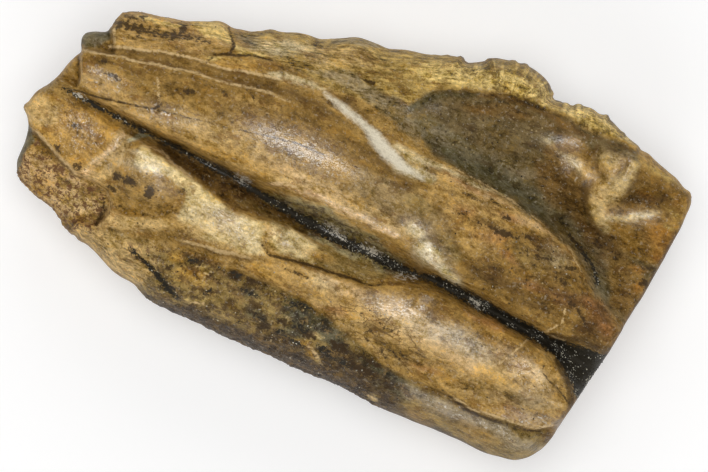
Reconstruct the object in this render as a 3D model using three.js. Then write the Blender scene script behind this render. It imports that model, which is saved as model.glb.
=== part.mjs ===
// A fossil tooth shed by a large horned dinosaur, lying with its ridged enamel face up.
// Millimetres. +X runs from the broken root end to the worn cutting end, +Y across the crown
// towards the crenulated margin, and +Z up. The origin is under the middle of the tooth, on the
// plane it rests on.
import * as THREE from "three";
import { mergeGeometries, mergeVertices } from "three/addons/utils/BufferGeometryUtils.js";

// Driving dimensions. The outlines and rails below are drawn at this size, and the finished
// solid is brought to it exactly.
const LENGTH = 32.4; // root tip to cutting edge
const WIDTH = 18.8; // flank to crenulated margin
const THICKNESS = 11.5; // resting plane to the crest of the main lobe

// Mesh density. The cells across the tooth are given with the rails.
const CELLS_ALONG = 70;
const CELLS_PAST_LAST_RAIL = 6;
const WALL_ROWS = 6;
const END_CROWDING = 0.55; // 0 spaces the cells evenly, 1 closes them up completely at both ends

// Plan outline as four sides. Both long sides run from the root end to the cutting end, and both
// short sides from the lower flank to the crenulated margin.
const LOWER_FLANK = [
  [-15.0, -6.55], [-14.1, -6.9], [-13.3, -7.1], [-12.6, -7.3], [-11.9, -7.8], [-11.2, -8.05],
  [-10.3, -8.15], [-9.1, -8.7], [-7.9, -8.87], [-6.7, -9.2], [-5.0, -9.37], [-2.5, -9.36],
  [0, -9.28], [1.5, -9.32], [4.0, -9.2], [6.0, -9.32], [9.0, -9.2], [12.0, -9.17],
  [13.3, -8.92], [14.3, -8.25],
];
const CRENULATED_MARGIN = [
  [-13.65, 3.15], [-12.0, 3.78], [-10.5, 4.15], [-9.2, 4.75], [-7.9, 4.93], [-6.7, 5.5],
  [-5.4, 5.95], [-4.2, 6.15], [-2.8, 6.85], [-1.6, 7.13], [-0.5, 7.3], [0.8, 7.7],
  [2.5, 8.3], [3.1, 8.3], [4.1, 8.95], [5.8, 9.38], [7.0, 9.05], [7.65, 8.45],
  [8.6, 8.45], [9.7, 8.78], [11.2, 8.5], [12.7, 7.95], [14.6, 7.42], [16.02, 6.88],
];
const ROOT_END = [
  [-15.0, -6.55], [-15.3, -6.05], [-15.36, -4.8], [-15.7, -3.7], [-16.15, -3.1],
  [-15.9, -2.2], [-15.3, -1.4], [-15.0, -0.3], [-14.8, 0.4], [-14.93, 1.1], [-14.6, 1.65],
  [-13.95, 1.98], [-13.65, 3.15],
];
const CUTTING_END = [
  [14.3, -8.25], [14.72, -7.4], [14.95, -6.0], [15.25, -4.0], [15.6, -1.5], [15.95, 1.5],
  [16.15, 4.0], [16.2, 5.8], [16.02, 6.88],
];

// Rails: the ridges and valleys that run along the enamel face, from the flank to the margin.
// Each has the cells between it and the line before it, and its points as [x, y, z]. They never
// cross, the face is drawn smoothly through them, and a row of cell corners lies on each.
const RAILS = [
  {
    // lip of the flank
    cells: 7,
    points: [
      [-15, -6.2, 7.5], [-12, -6.7, 7.6], [-8, -6.8, 8.1], [-4, -6.3, 8.6], [0, -6.2, 9.0],
      [3, -6.6, 9.0], [6, -7.1, 8.9], [10, -7.2, 8.8], [13, -7.0, 8.6], [15, -6.6, 8.3],
    ],
  },
  {
    // crest of the lower lobe
    cells: 3,
    points: [
      [-15, -4.9, 8.2], [-12, -4.9, 8.4], [-8, -5.3, 9.0], [-4, -5.3, 9.35], [0, -5.2, 9.7],
      [4, -5.2, 9.95], [8, -5.1, 10.0], [12, -5.2, 9.8], [15, -5.4, 9.2],
    ],
  },
  {
    // lower bank of the seam
    cells: 4,
    points: [
      [-16, -3.1, 8.6], [-12, -2.6, 9.1], [-9.5, -2.7, 9.9], [-7, -3.0, 9.9], [-4, -3.6, 9.75],
      [-2.3, -3.5, 9.5], [0, -3.7, 9.15], [2.5, -3.8, 9.2], [4.5, -3.4, 9.55], [8, -3.2, 9.8],
      [11, -3.4, 9.75], [13, -3.8, 9.5], [15, -4.6, 8.9],
    ],
  },
  {
    // floor of the seam, filled with dark sediment
    cells: 3,
    points: [
      [-16, -1.9, 8.6], [-14, -1.6, 8.9], [-10, -1.85, 8.8], [-5, -2.05, 8.5], [-2, -2.35, 8.2],
      [1, -2.45, 8.1], [4, -2.55, 8.2], [6, -2.4, 8.5], [10, -2.65, 8.4], [12.5, -2.8, 8.1],
      [15.4, -3.1, 7.7],
    ],
  },
  {
    // upper bank of the seam
    cells: 3,
    points: [
      [-15, -1.15, 9.6], [-10, -1.25, 10.3], [-5, -1.35, 10.4], [0, -1.15, 10.55],
      [3.5, -1.25, 10.5], [5.5, -1.6, 10.3], [8, -1.8, 10.0], [12, -2.05, 9.7], [15.6, -2.0, 9.0],
    ],
  },
  {
    // crest of the main lobe
    cells: 3,
    points: [
      [-14.5, -0.1, 10.4], [-10, 0.4, 11.0], [-5, 0.6, 11.4], [0, 0.7, 11.5], [4, 0.5, 11.3],
      [8, 0.6, 10.8], [12, 0.0, 10.2], [15.7, -0.8, 9.4],
    ],
  },
  {
    // upper shoulder of the main lobe, and the far lip of the trough
    cells: 4,
    points: [
      [-14.6, 0.7, 10.2], [-12, 1.3, 10.5], [-9, 2.0, 10.7], [-6, 2.5, 10.8], [-3.5, 2.8, 10.7],
      [-1, 3.1, 10.4], [2, 2.9, 10.0], [5, 3.0, 9.6], [8, 2.8, 9.3], [10, 2.3, 9.2],
      [12, 1.5, 9.1], [13.6, 0.5, 8.9], [15.6, -0.4, 8.7],
    ],
  },
  {
    // floor of the trough
    cells: 4,
    points: [
      [-13.8, 2.1, 9.8], [-10, 3.2, 9.7], [-6, 4.2, 9.5], [-3, 4.7, 9.3], [0, 4.8, 9.1],
      [2, 4.6, 8.8], [4, 4.3, 8.5], [7, 3.8, 8.1], [9, 3.4, 7.8], [11, 2.9, 7.5],
      [13, 2.4, 7.3], [16, 1.9, 7.5],
    ],
  },
  {
    // ridge that carries the crenulated margin
    cells: 7,
    points: [
      [-13.7, 2.8, 9.2], [-10, 3.9, 8.8], [-6, 5.2, 8.5], [-2, 6.4, 8.4], [2, 6.6, 8.7],
      [5, 7.1, 8.9], [8, 7.3, 9.0], [12, 7.2, 8.9], [14, 6.8, 8.5], [16, 6.3, 8.2],
    ],
  },
];

// Flat pieces broken out of the face, each a plan polygon, how far it lies below the rails, and
// half the width over which its edge falls.
const BREAKS = [
  {
    // the granular break at the lower corner of the root end
    drop: 1.15,
    half: 0.35,
    corners: [
      [-17, -3.9], [-14.8, -4.15], [-12.5, -5.15], [-11.4, -5.0], [-10.5, -5.3], [-10.05, -6.2],
      [-10.4, -7.0], [-11.4, -7.7], [-12, -9], [-17, -9],
    ],
  },
  {
    // the recess where the main lobe ends short of the root tip
    drop: 1.1,
    half: 0.3,
    corners: [[-17, -1.1], [-14.2, -1.15], [-14.15, -0.2], [-14.6, 0.5], [-17, 0.8]],
  },
  {
    // the low layer that shows at the root end of the splinter
    drop: 0.95,
    half: 0.3,
    corners: [[-17, 0.5], [-14.7, 0.6], [-13.1, 1.15], [-13.4, 1.5], [-13.9, 2.0], [-17, 2.6]],
  },
  {
    // the channel between the main lobe and the splinter
    drop: 0.5,
    half: 0.35,
    corners: [
      [-14.2, 0.8], [-13, 1.05], [-10.8, 1.55], [-8, 2.15], [-5.5, 2.6], [-3.8, 2.8],
      [-4.5, 3.2], [-6.2, 3.15], [-8, 2.8], [-10, 2.45], [-11.2, 2.1], [-13.2, 1.4],
    ],
  },
  {
    // the notch where the seam opens at the cutting end
    drop: 0.6,
    half: 0.4,
    corners: [[12, -2.4], [17, -1.9], [17, -4.6], [14.8, -4.3], [13.9, -3.6], [12.9, -3.1]],
  },
];

// Rounded swellings: centre, radii along and across the tooth, turn in degrees, and height.
const SWELLINGS = [
  { at: [-8.9, -4.1], radii: [2.0, 1.9], turn: -10, height: 0.75 }, // knob by the root end
  { at: [12.0, 6.6], radii: [0.9, 1.0], turn: 0, height: 0.5 }, // boss in the far corner
  { at: [9.9, 6.2], radii: [2.2, 1.1], turn: 12, height: 0.55 }, // fold beside the boss
];

// Ridges and valleys that cross the rails: a path, half the width, and the rise at the middle.
const FOLDS = [
  {
    // ridge that swings down from the boss and out to the cutting end
    path: [[10.4, 5.9], [11.3, 5.1], [12.1, 4.3], [13.2, 4.2], [14.6, 4.6], [16.2, 5.1]],
    half: 0.8,
    rise: 0.6,
  },
  {
    // valley between that ridge and the boss
    path: [[12.6, 4.9], [13.8, 5.5], [16.2, 6.0]],
    half: 0.8,
    rise: -0.4,
  },
  {
    // valley at the foot of that ridge
    path: [[10.5, 3.9], [11.6, 3.3], [12.6, 2.95], [14.5, 2.8]],
    half: 0.8,
    rise: -0.4,
  },
];
const FOLD_TAPER = 8; // a fold reaches its full rise an eighth of its path from either end
const FOLD_END = 0.25; // and starts at this share of it

// The rim, station by station. "around" counts the sides from the root end: 0 to 1 lower flank,
// 1 to 2 cutting end, 2 to 3 crenulated margin back to the root end, and 3 to 4 root end. The
// face falls by "fall" within "reach" of the outline, and the wall under it draws in by "tuck"
// on its way to the base. "square" is 2 for a round wall and higher for an upright one.
const RIM = [
  { around: 0.0, fall: 1.6, reach: 0.8, tuck: 2.8, square: 2.0 },
  { around: 0.2, fall: 3.6, reach: 1.7, tuck: 3.8, square: 1.8 },
  { around: 0.5, fall: 5.0, reach: 2.4, tuck: 4.4, square: 1.8 },
  { around: 0.9, fall: 4.6, reach: 2.1, tuck: 3.6, square: 1.9 },
  { around: 1.0, fall: 3.0, reach: 1.3, tuck: 2.8, square: 2.2 },
  { around: 1.15, fall: 0.9, reach: 0.5, tuck: 2.2, square: 3.0 },
  { around: 1.9, fall: 0.7, reach: 0.45, tuck: 2.4, square: 3.0 },
  { around: 2.05, fall: 1.6, reach: 0.7, tuck: 3.8, square: 2.2 },
  { around: 2.3, fall: 3.4, reach: 1.3, tuck: 5.2, square: 1.7 },
  { around: 2.6, fall: 2.8, reach: 1.5, tuck: 4.4, square: 1.7 },
  { around: 2.95, fall: 1.6, reach: 0.6, tuck: 2.8, square: 2.0 },
  { around: 3.1, fall: 1.0, reach: 0.4, tuck: 2.6, square: 2.2 },
  { around: 3.9, fall: 1.1, reach: 0.45, tuck: 2.6, square: 2.2 },
];

// The wall leans in towards this line, which runs along the middle of the base.
const BASE_LINE = [new THREE.Vector2(-10.5, -1.8), new THREE.Vector2(9.5, -0.2)];

const END_BLEND = 6; // how quickly the two ends' own outlines give way to the rails
const MEETING_HALVINGS = 30;
const MERGE_WITHIN = 1e-4;

const { clamp, degToRad, lerp, smoothstep } = THREE.MathUtils;
const count = (n) => Array.from({ length: n }, (_, i) => i);

/** A smooth line through knots that never overshoots them, level beyond both ends. */
function smoothThrough(at, values) {
  const steps = at.slice(1).map((x, i) => x - at[i]);
  const slopes = steps.map((step, i) => (values[i + 1] - values[i]) / step);
  const tangents = values.map((_, i) => {
    if (i === 0 || i === slopes.length || slopes[i - 1] * slopes[i] <= 0) return 0;
    const before = 2 * steps[i] + steps[i - 1];
    const after = steps[i] + 2 * steps[i - 1];
    return (before + after) / (before / slopes[i - 1] + after / slopes[i]);
  });
  return (x) => {
    if (x <= at[0]) return values[0];
    if (x >= at.at(-1)) return values.at(-1);
    const i = at.findIndex((knot, k) => k > 0 && x <= knot) - 1;
    const t = (x - at[i]) / steps[i];
    return (
      values[i] * (1 + 2 * t) * (1 - t) ** 2 +
      values[i + 1] * t * t * (3 - 2 * t) +
      steps[i] * t * (1 - t) * (tangents[i] * (1 - t) - tangents[i + 1] * t)
    );
  };
}

/** Distance from a plan point to a polyline, and the place of the nearest point, 0 to 1. */
function nearestOn(line, x, y) {
  let best = { distance: Infinity, place: 0 };
  for (let i = 0; i + 1 < line.length; i++) {
    const [ax, ay] = line[i];
    const [dx, dy] = [line[i + 1][0] - ax, line[i + 1][1] - ay];
    const t = clamp(((x - ax) * dx + (y - ay) * dy) / (dx * dx + dy * dy), 0, 1);
    const distance = Math.hypot(x - ax - t * dx, y - ay - t * dy);
    if (distance < best.distance) best = { distance, place: (i + t) / (line.length - 1) };
  }
  return best;
}

/** Whether a plan point lies inside a polygon. */
function isInside(corners, x, y) {
  return corners.reduce((inside, [ax, ay], i) => {
    const [bx, by] = corners[(i + 1) % corners.length];
    const crosses = ay > y !== by > y && x < ax + ((y - ay) / (by - ay)) * (bx - ax);
    return crosses ? !inside : inside;
  }, false);
}

/** A smooth curve through plan points, read by its share of length. */
const outline = (points) => new THREE.SplineCurve(points.map(([x, y]) => new THREE.Vector2(x, y)));

const flank = outline(LOWER_FLANK);
const margin = outline(CRENULATED_MARGIN);
const rootEnd = outline(ROOT_END);
const cuttingEnd = outline(CUTTING_END);

const rails = RAILS.map(({ points }) => ({
  y: smoothThrough(points.map((p) => p[0]), points.map((p) => p[1])),
  z: smoothThrough(points.map((p) => p[0]), points.map((p) => p[2])),
}));

/** Share of an end outline's length at which a rail meets it. */
function meeting(end, rail) {
  let [low, high] = [0, 1];
  for (let i = 0; i < MEETING_HALVINGS; i++) {
    const middle = (low + high) / 2;
    const { x, y } = end.getPointAt(middle);
    if (y < rail.y(x)) low = middle;
    else high = middle;
  }
  return low;
}

/** A rail as a plan line between the two ends. */
function railLine(rail) {
  const [rootShare, cuttingShare] = [meeting(rootEnd, rail), meeting(cuttingEnd, rail)];
  const from = rootEnd.getPointAt(rootShare).x;
  const to = cuttingEnd.getPointAt(cuttingShare).x;
  const at = (s) => new THREE.Vector2(lerp(from, to, s), rail.y(lerp(from, to, s)));
  return { rootShare, cuttingShare, at };
}

// Every line that a row of cell corners lies on, from the flank's outline to the margin's.
const lines = [
  { rootShare: 0, cuttingShare: 0, at: (s) => flank.getPointAt(s) },
  ...rails.map(railLine),
  { rootShare: 1, cuttingShare: 1, at: (s) => margin.getPointAt(s) },
];
const stripCells = [...RAILS.map(({ cells }) => cells), CELLS_PAST_LAST_RAIL];

/** Row parts within one strip: even inside, and closing up towards an outline. */
function stripParts(strip) {
  const cells = stripCells[strip];
  const quarter = (i) => (i / cells) * (Math.PI / 2);
  if (strip === 0) return count(cells).map((i) => 1 - Math.cos(quarter(i)));
  if (strip === stripCells.length - 1) return count(cells).map((i) => Math.sin(quarter(i)));
  return count(cells).map((i) => i / cells);
}

/** Rows of cell corners: the lines on both sides, the part of the way between, and the shares. */
const rows = [
  ...stripCells.flatMap((_, strip) => stripParts(strip).map((part) => ({ strip, part }))),
  { strip: stripCells.length - 1, part: 1 },
].map(({ strip, part }) => {
  const [below, above] = [lines[strip], lines[strip + 1]];
  const rootShare = lerp(below.rootShare, above.rootShare, part);
  const cuttingShare = lerp(below.cuttingShare, above.cuttingShare, part);
  return { below, above, part, rootShare, cuttingShare };
});

/** Columns of cell corners, as shares of the way along the tooth. */
const columns = count(CELLS_ALONG + 1).map((i) => {
  const even = i / CELLS_ALONG;
  return even - (END_CROWDING * Math.sin(2 * Math.PI * even)) / (2 * Math.PI);
});

/** Plan point at a share of the way along a row. */
function planPoint(s, { below, above, part, rootShare, cuttingShare }) {
  const between = (t) => below.at(t).lerp(above.at(t), part);
  const rootGap = rootEnd.getPointAt(rootShare).sub(between(0));
  const cuttingGap = cuttingEnd.getPointAt(cuttingShare).sub(between(1));
  return between(s)
    .addScaledVector(rootGap, (1 - s) ** END_BLEND)
    .addScaledVector(cuttingGap, s ** END_BLEND);
}

const plan = rows.map((row) => columns.map((s) => planPoint(s, row)));

/** The outline walked once round, each cell corner with its place around. */
const rim = [
  ...columns.map((s, i) => ({ point: plan[0][i], around: s })).slice(0, -1),
  ...rows.map((row, j) => ({ point: plan[j].at(-1), around: 1 + row.cuttingShare })).slice(0, -1),
  ...columns.map((s, i) => ({ point: plan.at(-1)[i], around: 3 - s })).slice(1).reverse(),
  ...rows.map((row, j) => ({ point: plan[j][0], around: 4 - row.rootShare })).slice(1).reverse(),
];
const rimLine = [...rim, rim[0]].map(({ point }) => point.toArray());

/** The rim's shape at a place around, eased between its stations. */
function rimAt(around) {
  const next = RIM.findIndex((station) => station.around > around);
  const before = RIM.at(next - 1);
  const after = next < 0 ? { ...RIM[0], around: 4 } : RIM[next];
  const t = smoothstep(around, before.around, after.around);
  const ease = (key) => lerp(before[key], after[key], t);
  return { fall: ease("fall"), reach: ease("reach"), tuck: ease("tuck"), square: ease("square") };
}

/** Height of the face on the rails alone. */
function railHeight(x, y) {
  return smoothThrough(rails.map((rail) => rail.y(x)), rails.map((rail) => rail.z(x)))(y);
}

function breakDrop({ corners, drop, half }, x, y) {
  const edge = nearestOn([...corners, corners[0]], x, y).distance;
  return drop * smoothstep(isInside(corners, x, y) ? edge : -edge, -half, half);
}

function swellingRise({ at, radii, turn, height }, x, y) {
  const away = new THREE.Vector2(x, y).sub(new THREE.Vector2(...at));
  away.rotateAround(new THREE.Vector2(), -degToRad(turn));
  const share = (away.x / radii[0]) ** 2 + (away.y / radii[1]) ** 2;
  return share < 1 ? height * (1 - share) ** 2 * (1 + share) : 0;
}

function foldRise({ path, half, rise }, x, y) {
  const { distance, place } = nearestOn(path, x, y);
  const taper = clamp(FOLD_TAPER * Math.min(place, 1 - place), FOLD_END, 1);
  return rise * taper * Math.exp(-((distance / half) ** 2));
}

/** How far the face falls near the outline. */
function rimFall(x, y) {
  const { distance, place } = nearestOn(rimLine, x, y);
  const here = Math.min(Math.floor(place * rim.length), rim.length - 1);
  const { fall, reach } = rimAt(rim[here].around);
  const inward = clamp(1 - distance / reach, 0, 1);
  return fall * (1 - Math.sqrt(1 - inward * inward));
}

/** Height of the finished face at a plan point. */
function faceHeight({ x, y }) {
  let z = railHeight(x, y) - rimFall(x, y);
  for (const piece of BREAKS) z -= breakDrop(piece, x, y);
  for (const swelling of SWELLINGS) z += swellingRise(swelling, x, y);
  for (const fold of FOLDS) z += foldRise(fold, x, y);
  return z;
}

/** Point of the wall under a place on the rim; w is 0 at the outline and 1 at the base. */
function wallPoint({ point, around }, w) {
  const { tuck, square } = rimAt(around);
  const line = BASE_LINE[1].clone().sub(BASE_LINE[0]);
  const share = clamp(point.clone().sub(BASE_LINE[0]).dot(line) / line.lengthSq(), 0, 1);
  const inward = BASE_LINE[0].clone().addScaledVector(line, share).sub(point).normalize();
  const turn = (w * Math.PI) / 2;
  const inset = tuck * (1 - Math.cos(turn) ** (2 / square));
  const drop = w === 1 ? 1 : Math.sin(turn) ** (2 / square);
  const { x, y } = point.clone().addScaledVector(inward, inset);
  return [x, y, faceHeight(point) * (1 - drop)];
}

/** A sheet of cells from rows of points. */
function sheet(grid) {
  const width = grid[0].length;
  const corners = count(grid.length - 1).flatMap((j) =>
    count(width - 1).flatMap((i) => {
      const a = j * width + i;
      return [a, a + 1, a + width + 1, a, a + width + 1, a + width];
    }),
  );
  const positions = new THREE.Float32BufferAttribute(grid.flat(2), 3);
  return new THREE.BufferGeometry().setAttribute("position", positions).setIndex(corners);
}

/** The enamel face. */
function faceSheet() {
  return sheet(plan.map((row) => row.map((point) => [point.x, point.y, faceHeight(point)])));
}

/** The wall round the tooth, from the base up to the outline. */
function wallSheet() {
  const round = [...rim, rim[0]];
  const shares = count(WALL_ROWS + 1).map((row) => 1 - row / WALL_ROWS);
  return sheet(shares.map((w) => round.map((place) => wallPoint(place, w))));
}

/** The flat underside, on which the tooth rests. */
function baseSheet() {
  const ring = rim.map((place) => wallPoint(place, 1));
  const contour = ring.map(([x, y]) => new THREE.Vector2(x, y));
  const faces = THREE.ShapeUtils.triangulateShape(contour, []);
  const positions = new THREE.Float32BufferAttribute(ring.flat(), 3);
  const facingDown = faces.flatMap(([a, b, c]) => [a, c, b]);
  return new THREE.BufferGeometry().setAttribute("position", positions).setIndex(facingDown);
}

/** The whole tooth as one closed surface at its driving dimensions, with its origin under it. */
function toothGeometry() {
  const solid = mergeVertices(mergeGeometries([faceSheet(), wallSheet(), baseSheet()]), MERGE_WITHIN);
  solid.computeBoundingBox();
  const drawn = solid.boundingBox.getSize(new THREE.Vector3());
  const middle = solid.boundingBox.getCenter(new THREE.Vector3());
  solid.translate(-middle.x, -middle.y, 0);
  return solid.scale(LENGTH / drawn.x, WIDTH / drawn.y, THICKNESS / drawn.z);
}

const fossil = new THREE.MeshStandardMaterial({ color: 0x8c744b, roughness: 0.42, metalness: 0 });

const tooth = new THREE.Mesh(toothGeometry(), fossil);
tooth.name = "tooth";

const part = new THREE.Group();
part.add(tooth);

export default part;
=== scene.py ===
"""Visual model of a horned dinosaur's fossil tooth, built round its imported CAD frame.

The tooth lies with its ridged enamel face up. Inside the script lengths are millimetres in the
tooth's own frame: X runs from the broken root end to the worn cutting end, Y across the crown
towards the crenulated margin, and Z up from the plane it rests on. The form is a face drawn
through long rails, broken and folded by the features listed below, on a wall that tucks in to a
flat base. Every stain is a plan shape in the same frame.
"""

from __future__ import annotations

import logging
import math
from dataclasses import dataclass, field, replace
from enum import Enum

import bpy
import numpy as np
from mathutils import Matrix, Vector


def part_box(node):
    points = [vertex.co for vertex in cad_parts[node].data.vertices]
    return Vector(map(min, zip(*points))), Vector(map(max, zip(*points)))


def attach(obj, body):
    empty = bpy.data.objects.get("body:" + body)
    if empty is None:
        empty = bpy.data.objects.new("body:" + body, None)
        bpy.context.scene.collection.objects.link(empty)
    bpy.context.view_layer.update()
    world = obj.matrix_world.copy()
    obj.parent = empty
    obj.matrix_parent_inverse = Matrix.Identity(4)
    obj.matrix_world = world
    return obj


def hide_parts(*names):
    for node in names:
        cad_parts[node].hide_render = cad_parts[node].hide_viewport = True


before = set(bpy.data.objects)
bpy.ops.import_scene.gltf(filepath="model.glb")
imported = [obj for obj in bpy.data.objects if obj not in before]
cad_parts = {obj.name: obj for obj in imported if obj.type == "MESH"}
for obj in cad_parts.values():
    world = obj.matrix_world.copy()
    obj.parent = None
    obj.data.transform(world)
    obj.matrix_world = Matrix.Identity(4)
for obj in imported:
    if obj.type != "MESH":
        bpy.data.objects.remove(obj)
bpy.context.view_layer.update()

LOG = logging.getLogger("fossil_tooth")
NODE = "tooth"
BODY = "root"
SLOT = "fossil_enamel"
MM = 0.001
SHADE = "shade"

Array = np.ndarray
Plan = tuple[float, float]
Triple = tuple[float, float, float]
Socket = bpy.types.NodeSocket


def smooth_step(value: Array, low: float, high: float) -> Array:
    """Eases from 0 at low to 1 at high."""
    share = np.clip((value - low) / (high - low), 0.0, 1.0)
    return share * share * (3.0 - 2.0 * share)


def monotone(knots: Array, values: Array, at: Array) -> Array:
    """Draws a smooth line through knots that never overshoots them, level past both ends.

    Args:
        knots: Rising places of the knots, one row for each knot, and one column for each point
            where the knots differ from point to point.
        values: Heights at the knots, in the same layout.
        at: Places to read, one for each point.

    Returns:
        The height of the line at each place.
    """
    shape = (len(knots), at.size)
    knots = np.broadcast_to(knots.reshape(len(knots), -1), shape)
    values = np.broadcast_to(values.reshape(len(values), -1), shape)
    step = np.diff(knots, axis=0)
    slope = np.diff(values, axis=0) / step
    before = 2.0 * step[1:] + step[:-1]
    after = step[1:] + 2.0 * step[:-1]
    turning = slope[:-1] * slope[1:] <= 0.0
    with np.errstate(divide="ignore", invalid="ignore"):
        inner = (before + after) / (before / slope[:-1] + after / slope[1:])
    tangent = np.zeros(shape)
    tangent[1:-1] = np.where(turning, 0.0, inner)
    cell = np.clip((at[None] >= knots[1:-1]).sum(axis=0), 0, len(knots) - 2)

    def pick(rows: Array) -> Array:
        """The row of each point's own cell."""
        return np.take_along_axis(rows, cell[None], axis=0)[0]

    width = pick(step)
    t = np.clip((at - pick(knots[:-1])) / width, 0.0, 1.0)
    ends = pick(values[:-1]) * (1 + 2 * t) * (1 - t) ** 2 + pick(values[1:]) * t * t * (3 - 2 * t)
    return ends + width * t * (1 - t) * (pick(tangent[:-1]) * (1 - t) - pick(tangent[1:]) * t)


def oval_axes(x: Array, y: Array, at: Plan, radii: Plan, turn: float) -> tuple[Array, Array]:
    """Places along and across an oval.

    Args:
        x: Where the points are along the tooth.
        y: Where they are across it.
        at: The oval's middle.
        radii: Its half length and half width.
        turn: Degrees by which it is turned.

    Returns:
        Distances from its middle along and across it, counted in its radii.
    """
    cosine, sine = math.cos(math.radians(turn)), math.sin(math.radians(turn))
    dx, dy = x - at[0], y - at[1]
    return (dx * cosine + dy * sine) / radii[0], (dy * cosine - dx * sine) / radii[1]


class LatticeNoise:
    """Smooth noise on a seeded lattice of random values, the same on every run."""

    SIZE = 32

    def __init__(self, seed: int) -> None:
        """Fills the lattice from a seed."""
        self.lattice = np.random.default_rng(seed).uniform(-1.0, 1.0, (self.SIZE,) * 3)

    def layer(self, points: Array, pitch: float) -> Array:
        """Reads one layer of noise.

        Args:
            points: Points as rows of x, y and z.
            pitch: Spacing of the lattice.

        Returns:
            A value from -1 to 1 for each point.
        """
        place = points / pitch
        cell = np.floor(place).astype(int)
        ease = place - cell
        ease = ease * ease * (3.0 - 2.0 * ease)
        total = np.zeros(len(points))
        for corner in np.ndindex(2, 2, 2):
            weight = np.prod(np.where(corner, ease, 1.0 - ease), axis=1)
            i, j, k = ((cell + corner) % self.SIZE).T
            total += weight * self.lattice[i, j, k]
        return total

    def layers(self, points: Array, pitch: float, octaves: int) -> Array:
        """Sums layers, each half the size and half the strength of the one before."""
        return sum(self.layer(points, pitch / 2**n) / 2**n for n in range(octaves))


class Path:
    """A line in plan that gives distances for many points at once."""

    def __init__(self, points: list[Plan], closed: bool = False) -> None:
        """Keeps the line's corners, and goes back to the first where it is closed."""
        self.points = np.array([*points, points[0]] if closed else points, float)

    def measure(self, x: Array, y: Array) -> tuple[Array, Array, Array]:
        """Finds the nearest place on the line.

        Args:
            x: Where the points are along the tooth.
            y: Where they are across it.

        Returns:
            The distance, the nearest place counted in corners, and 1 on the left or -1 on the
            right.
        """
        best = np.full(x.shape, np.inf)
        place = np.zeros(x.shape)
        side = np.ones(x.shape)
        for i, (start, end) in enumerate(zip(self.points[:-1], self.points[1:])):
            dx, dy = end - start
            rx, ry = x - start[0], y - start[1]
            t = np.clip((rx * dx + ry * dy) / (dx * dx + dy * dy), 0.0, 1.0)
            away = (rx - t * dx) ** 2 + (ry - t * dy) ** 2
            closer = away < best
            best = np.where(closer, away, best)
            place = np.where(closer, i + t, place)
            side = np.where(closer, np.where(dx * ry - dy * rx >= 0.0, 1.0, -1.0), side)
        return np.sqrt(best), place, side

    def depth_inside(self, x: Array, y: Array) -> Array:
        """Distance to a closed line, more than 0 inside it and less outside."""
        inside = np.zeros(x.shape, bool)
        for (ax, ay), (bx, by) in zip(self.points[:-1], self.points[1:]):
            if ay != by:
                spans = (ay > y) != (by > y)
                inside ^= spans & (x < ax + (y - ay) / (by - ay) * (bx - ax))
        return np.where(inside, 1.0, -1.0) * self.measure(x, y)[0]


def taper(place: Array, corners: int, share: float) -> Array:
    """Eases a line's effect in and out at its two ends.

    Args:
        place: Places on the line, counted in corners.
        corners: How many corners the line has.
        share: The share of the line over which the effect rises.

    Returns:
        0 at the ends and 1 between them.
    """
    along = place / (corners - 1)
    return smooth_step(np.minimum(along, 1.0 - along), 0.0, share)


class Side(Enum):
    """The side of a scarp that lies low, seen along its path."""

    LEFT = 1
    RIGHT = -1


@dataclass(frozen=True)
class Rail:
    """A ridge or valley that runs the whole length of the face.

    Attributes:
        cells: Cells of the mesh between this rail and the line before it.
        points: Its points as x, y and z.
    """

    cells: int
    points: list[Triple]

    def across(self, x: Array) -> Array:
        """Where the rail lies across the tooth."""
        points = np.array(self.points)
        return monotone(points[:, 0], points[:, 1], x)

    def height(self, x: Array) -> Array:
        """How high the rail lies."""
        points = np.array(self.points)
        return monotone(points[:, 0], points[:, 2], x)


@dataclass(frozen=True)
class Break:
    """A flat piece broken out of the face.

    Attributes:
        drop: How far it lies below the rails.
        half: Half the width over which its edge falls.
        corners: Its plan.
    """

    drop: float
    half: float
    corners: list[Plan]

    def rise(self, x: Array, y: Array) -> Array:
        """Height that the break adds, which is negative."""
        depth = Path(self.corners, closed=True).depth_inside(x, y)
        return -self.drop * smooth_step(depth, -self.half, self.half)


@dataclass(frozen=True)
class Swelling:
    """A rounded swelling, or a pit where its height is negative."""

    at: Plan
    radii: Plan
    height: float
    turn: float = 0.0

    def rise(self, x: Array, y: Array) -> Array:
        """Height that the swelling adds."""
        along, across = oval_axes(x, y, self.at, self.radii, self.turn)
        share = np.minimum(along * along + across * across, 1.0)
        return self.height * (1.0 - share) ** 2 * (1.0 + share)


@dataclass(frozen=True)
class Fold:
    """A ridge along a path, or a groove where its lift is negative.

    Attributes:
        half: Half its width.
        lift: Its height.
        path: Its line in plan.
        ends: Share of the path over which it grows at each end.
    """

    half: float
    lift: float
    path: list[Plan]
    ends: float = 0.15

    def rise(self, x: Array, y: Array) -> Array:
        """Height that the fold adds."""
        distance, place, _ = Path(self.path).measure(x, y)
        ridge = self.lift * np.exp(-((distance / self.half) ** 2))
        return ridge * taper(place, len(self.path), self.ends)


@dataclass(frozen=True)
class Scarp:
    """A step along a path: one side drops at once, then comes back up gently.

    Attributes:
        low: The side that drops, seen along the path.
        drop: Height of the step.
        edge: Half the width over which it falls.
        decay: Distance over which the low side comes back up.
        path: Its line in plan.
        ends: Share of the path over which the step grows at each end.
    """

    low: Side
    drop: float
    edge: float
    decay: float
    path: list[Plan]
    ends: float = 0.12

    def rise(self, x: Array, y: Array) -> Array:
        """Height that the scarp adds, which is negative."""
        distance, place, side = Path(self.path).measure(x, y)
        out = distance * side * self.low.value
        step = smooth_step(out, -self.edge, self.edge) * np.exp(-np.maximum(out, 0.0) / self.decay)
        return -self.drop * step * taper(place, len(self.path), self.ends)


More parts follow.
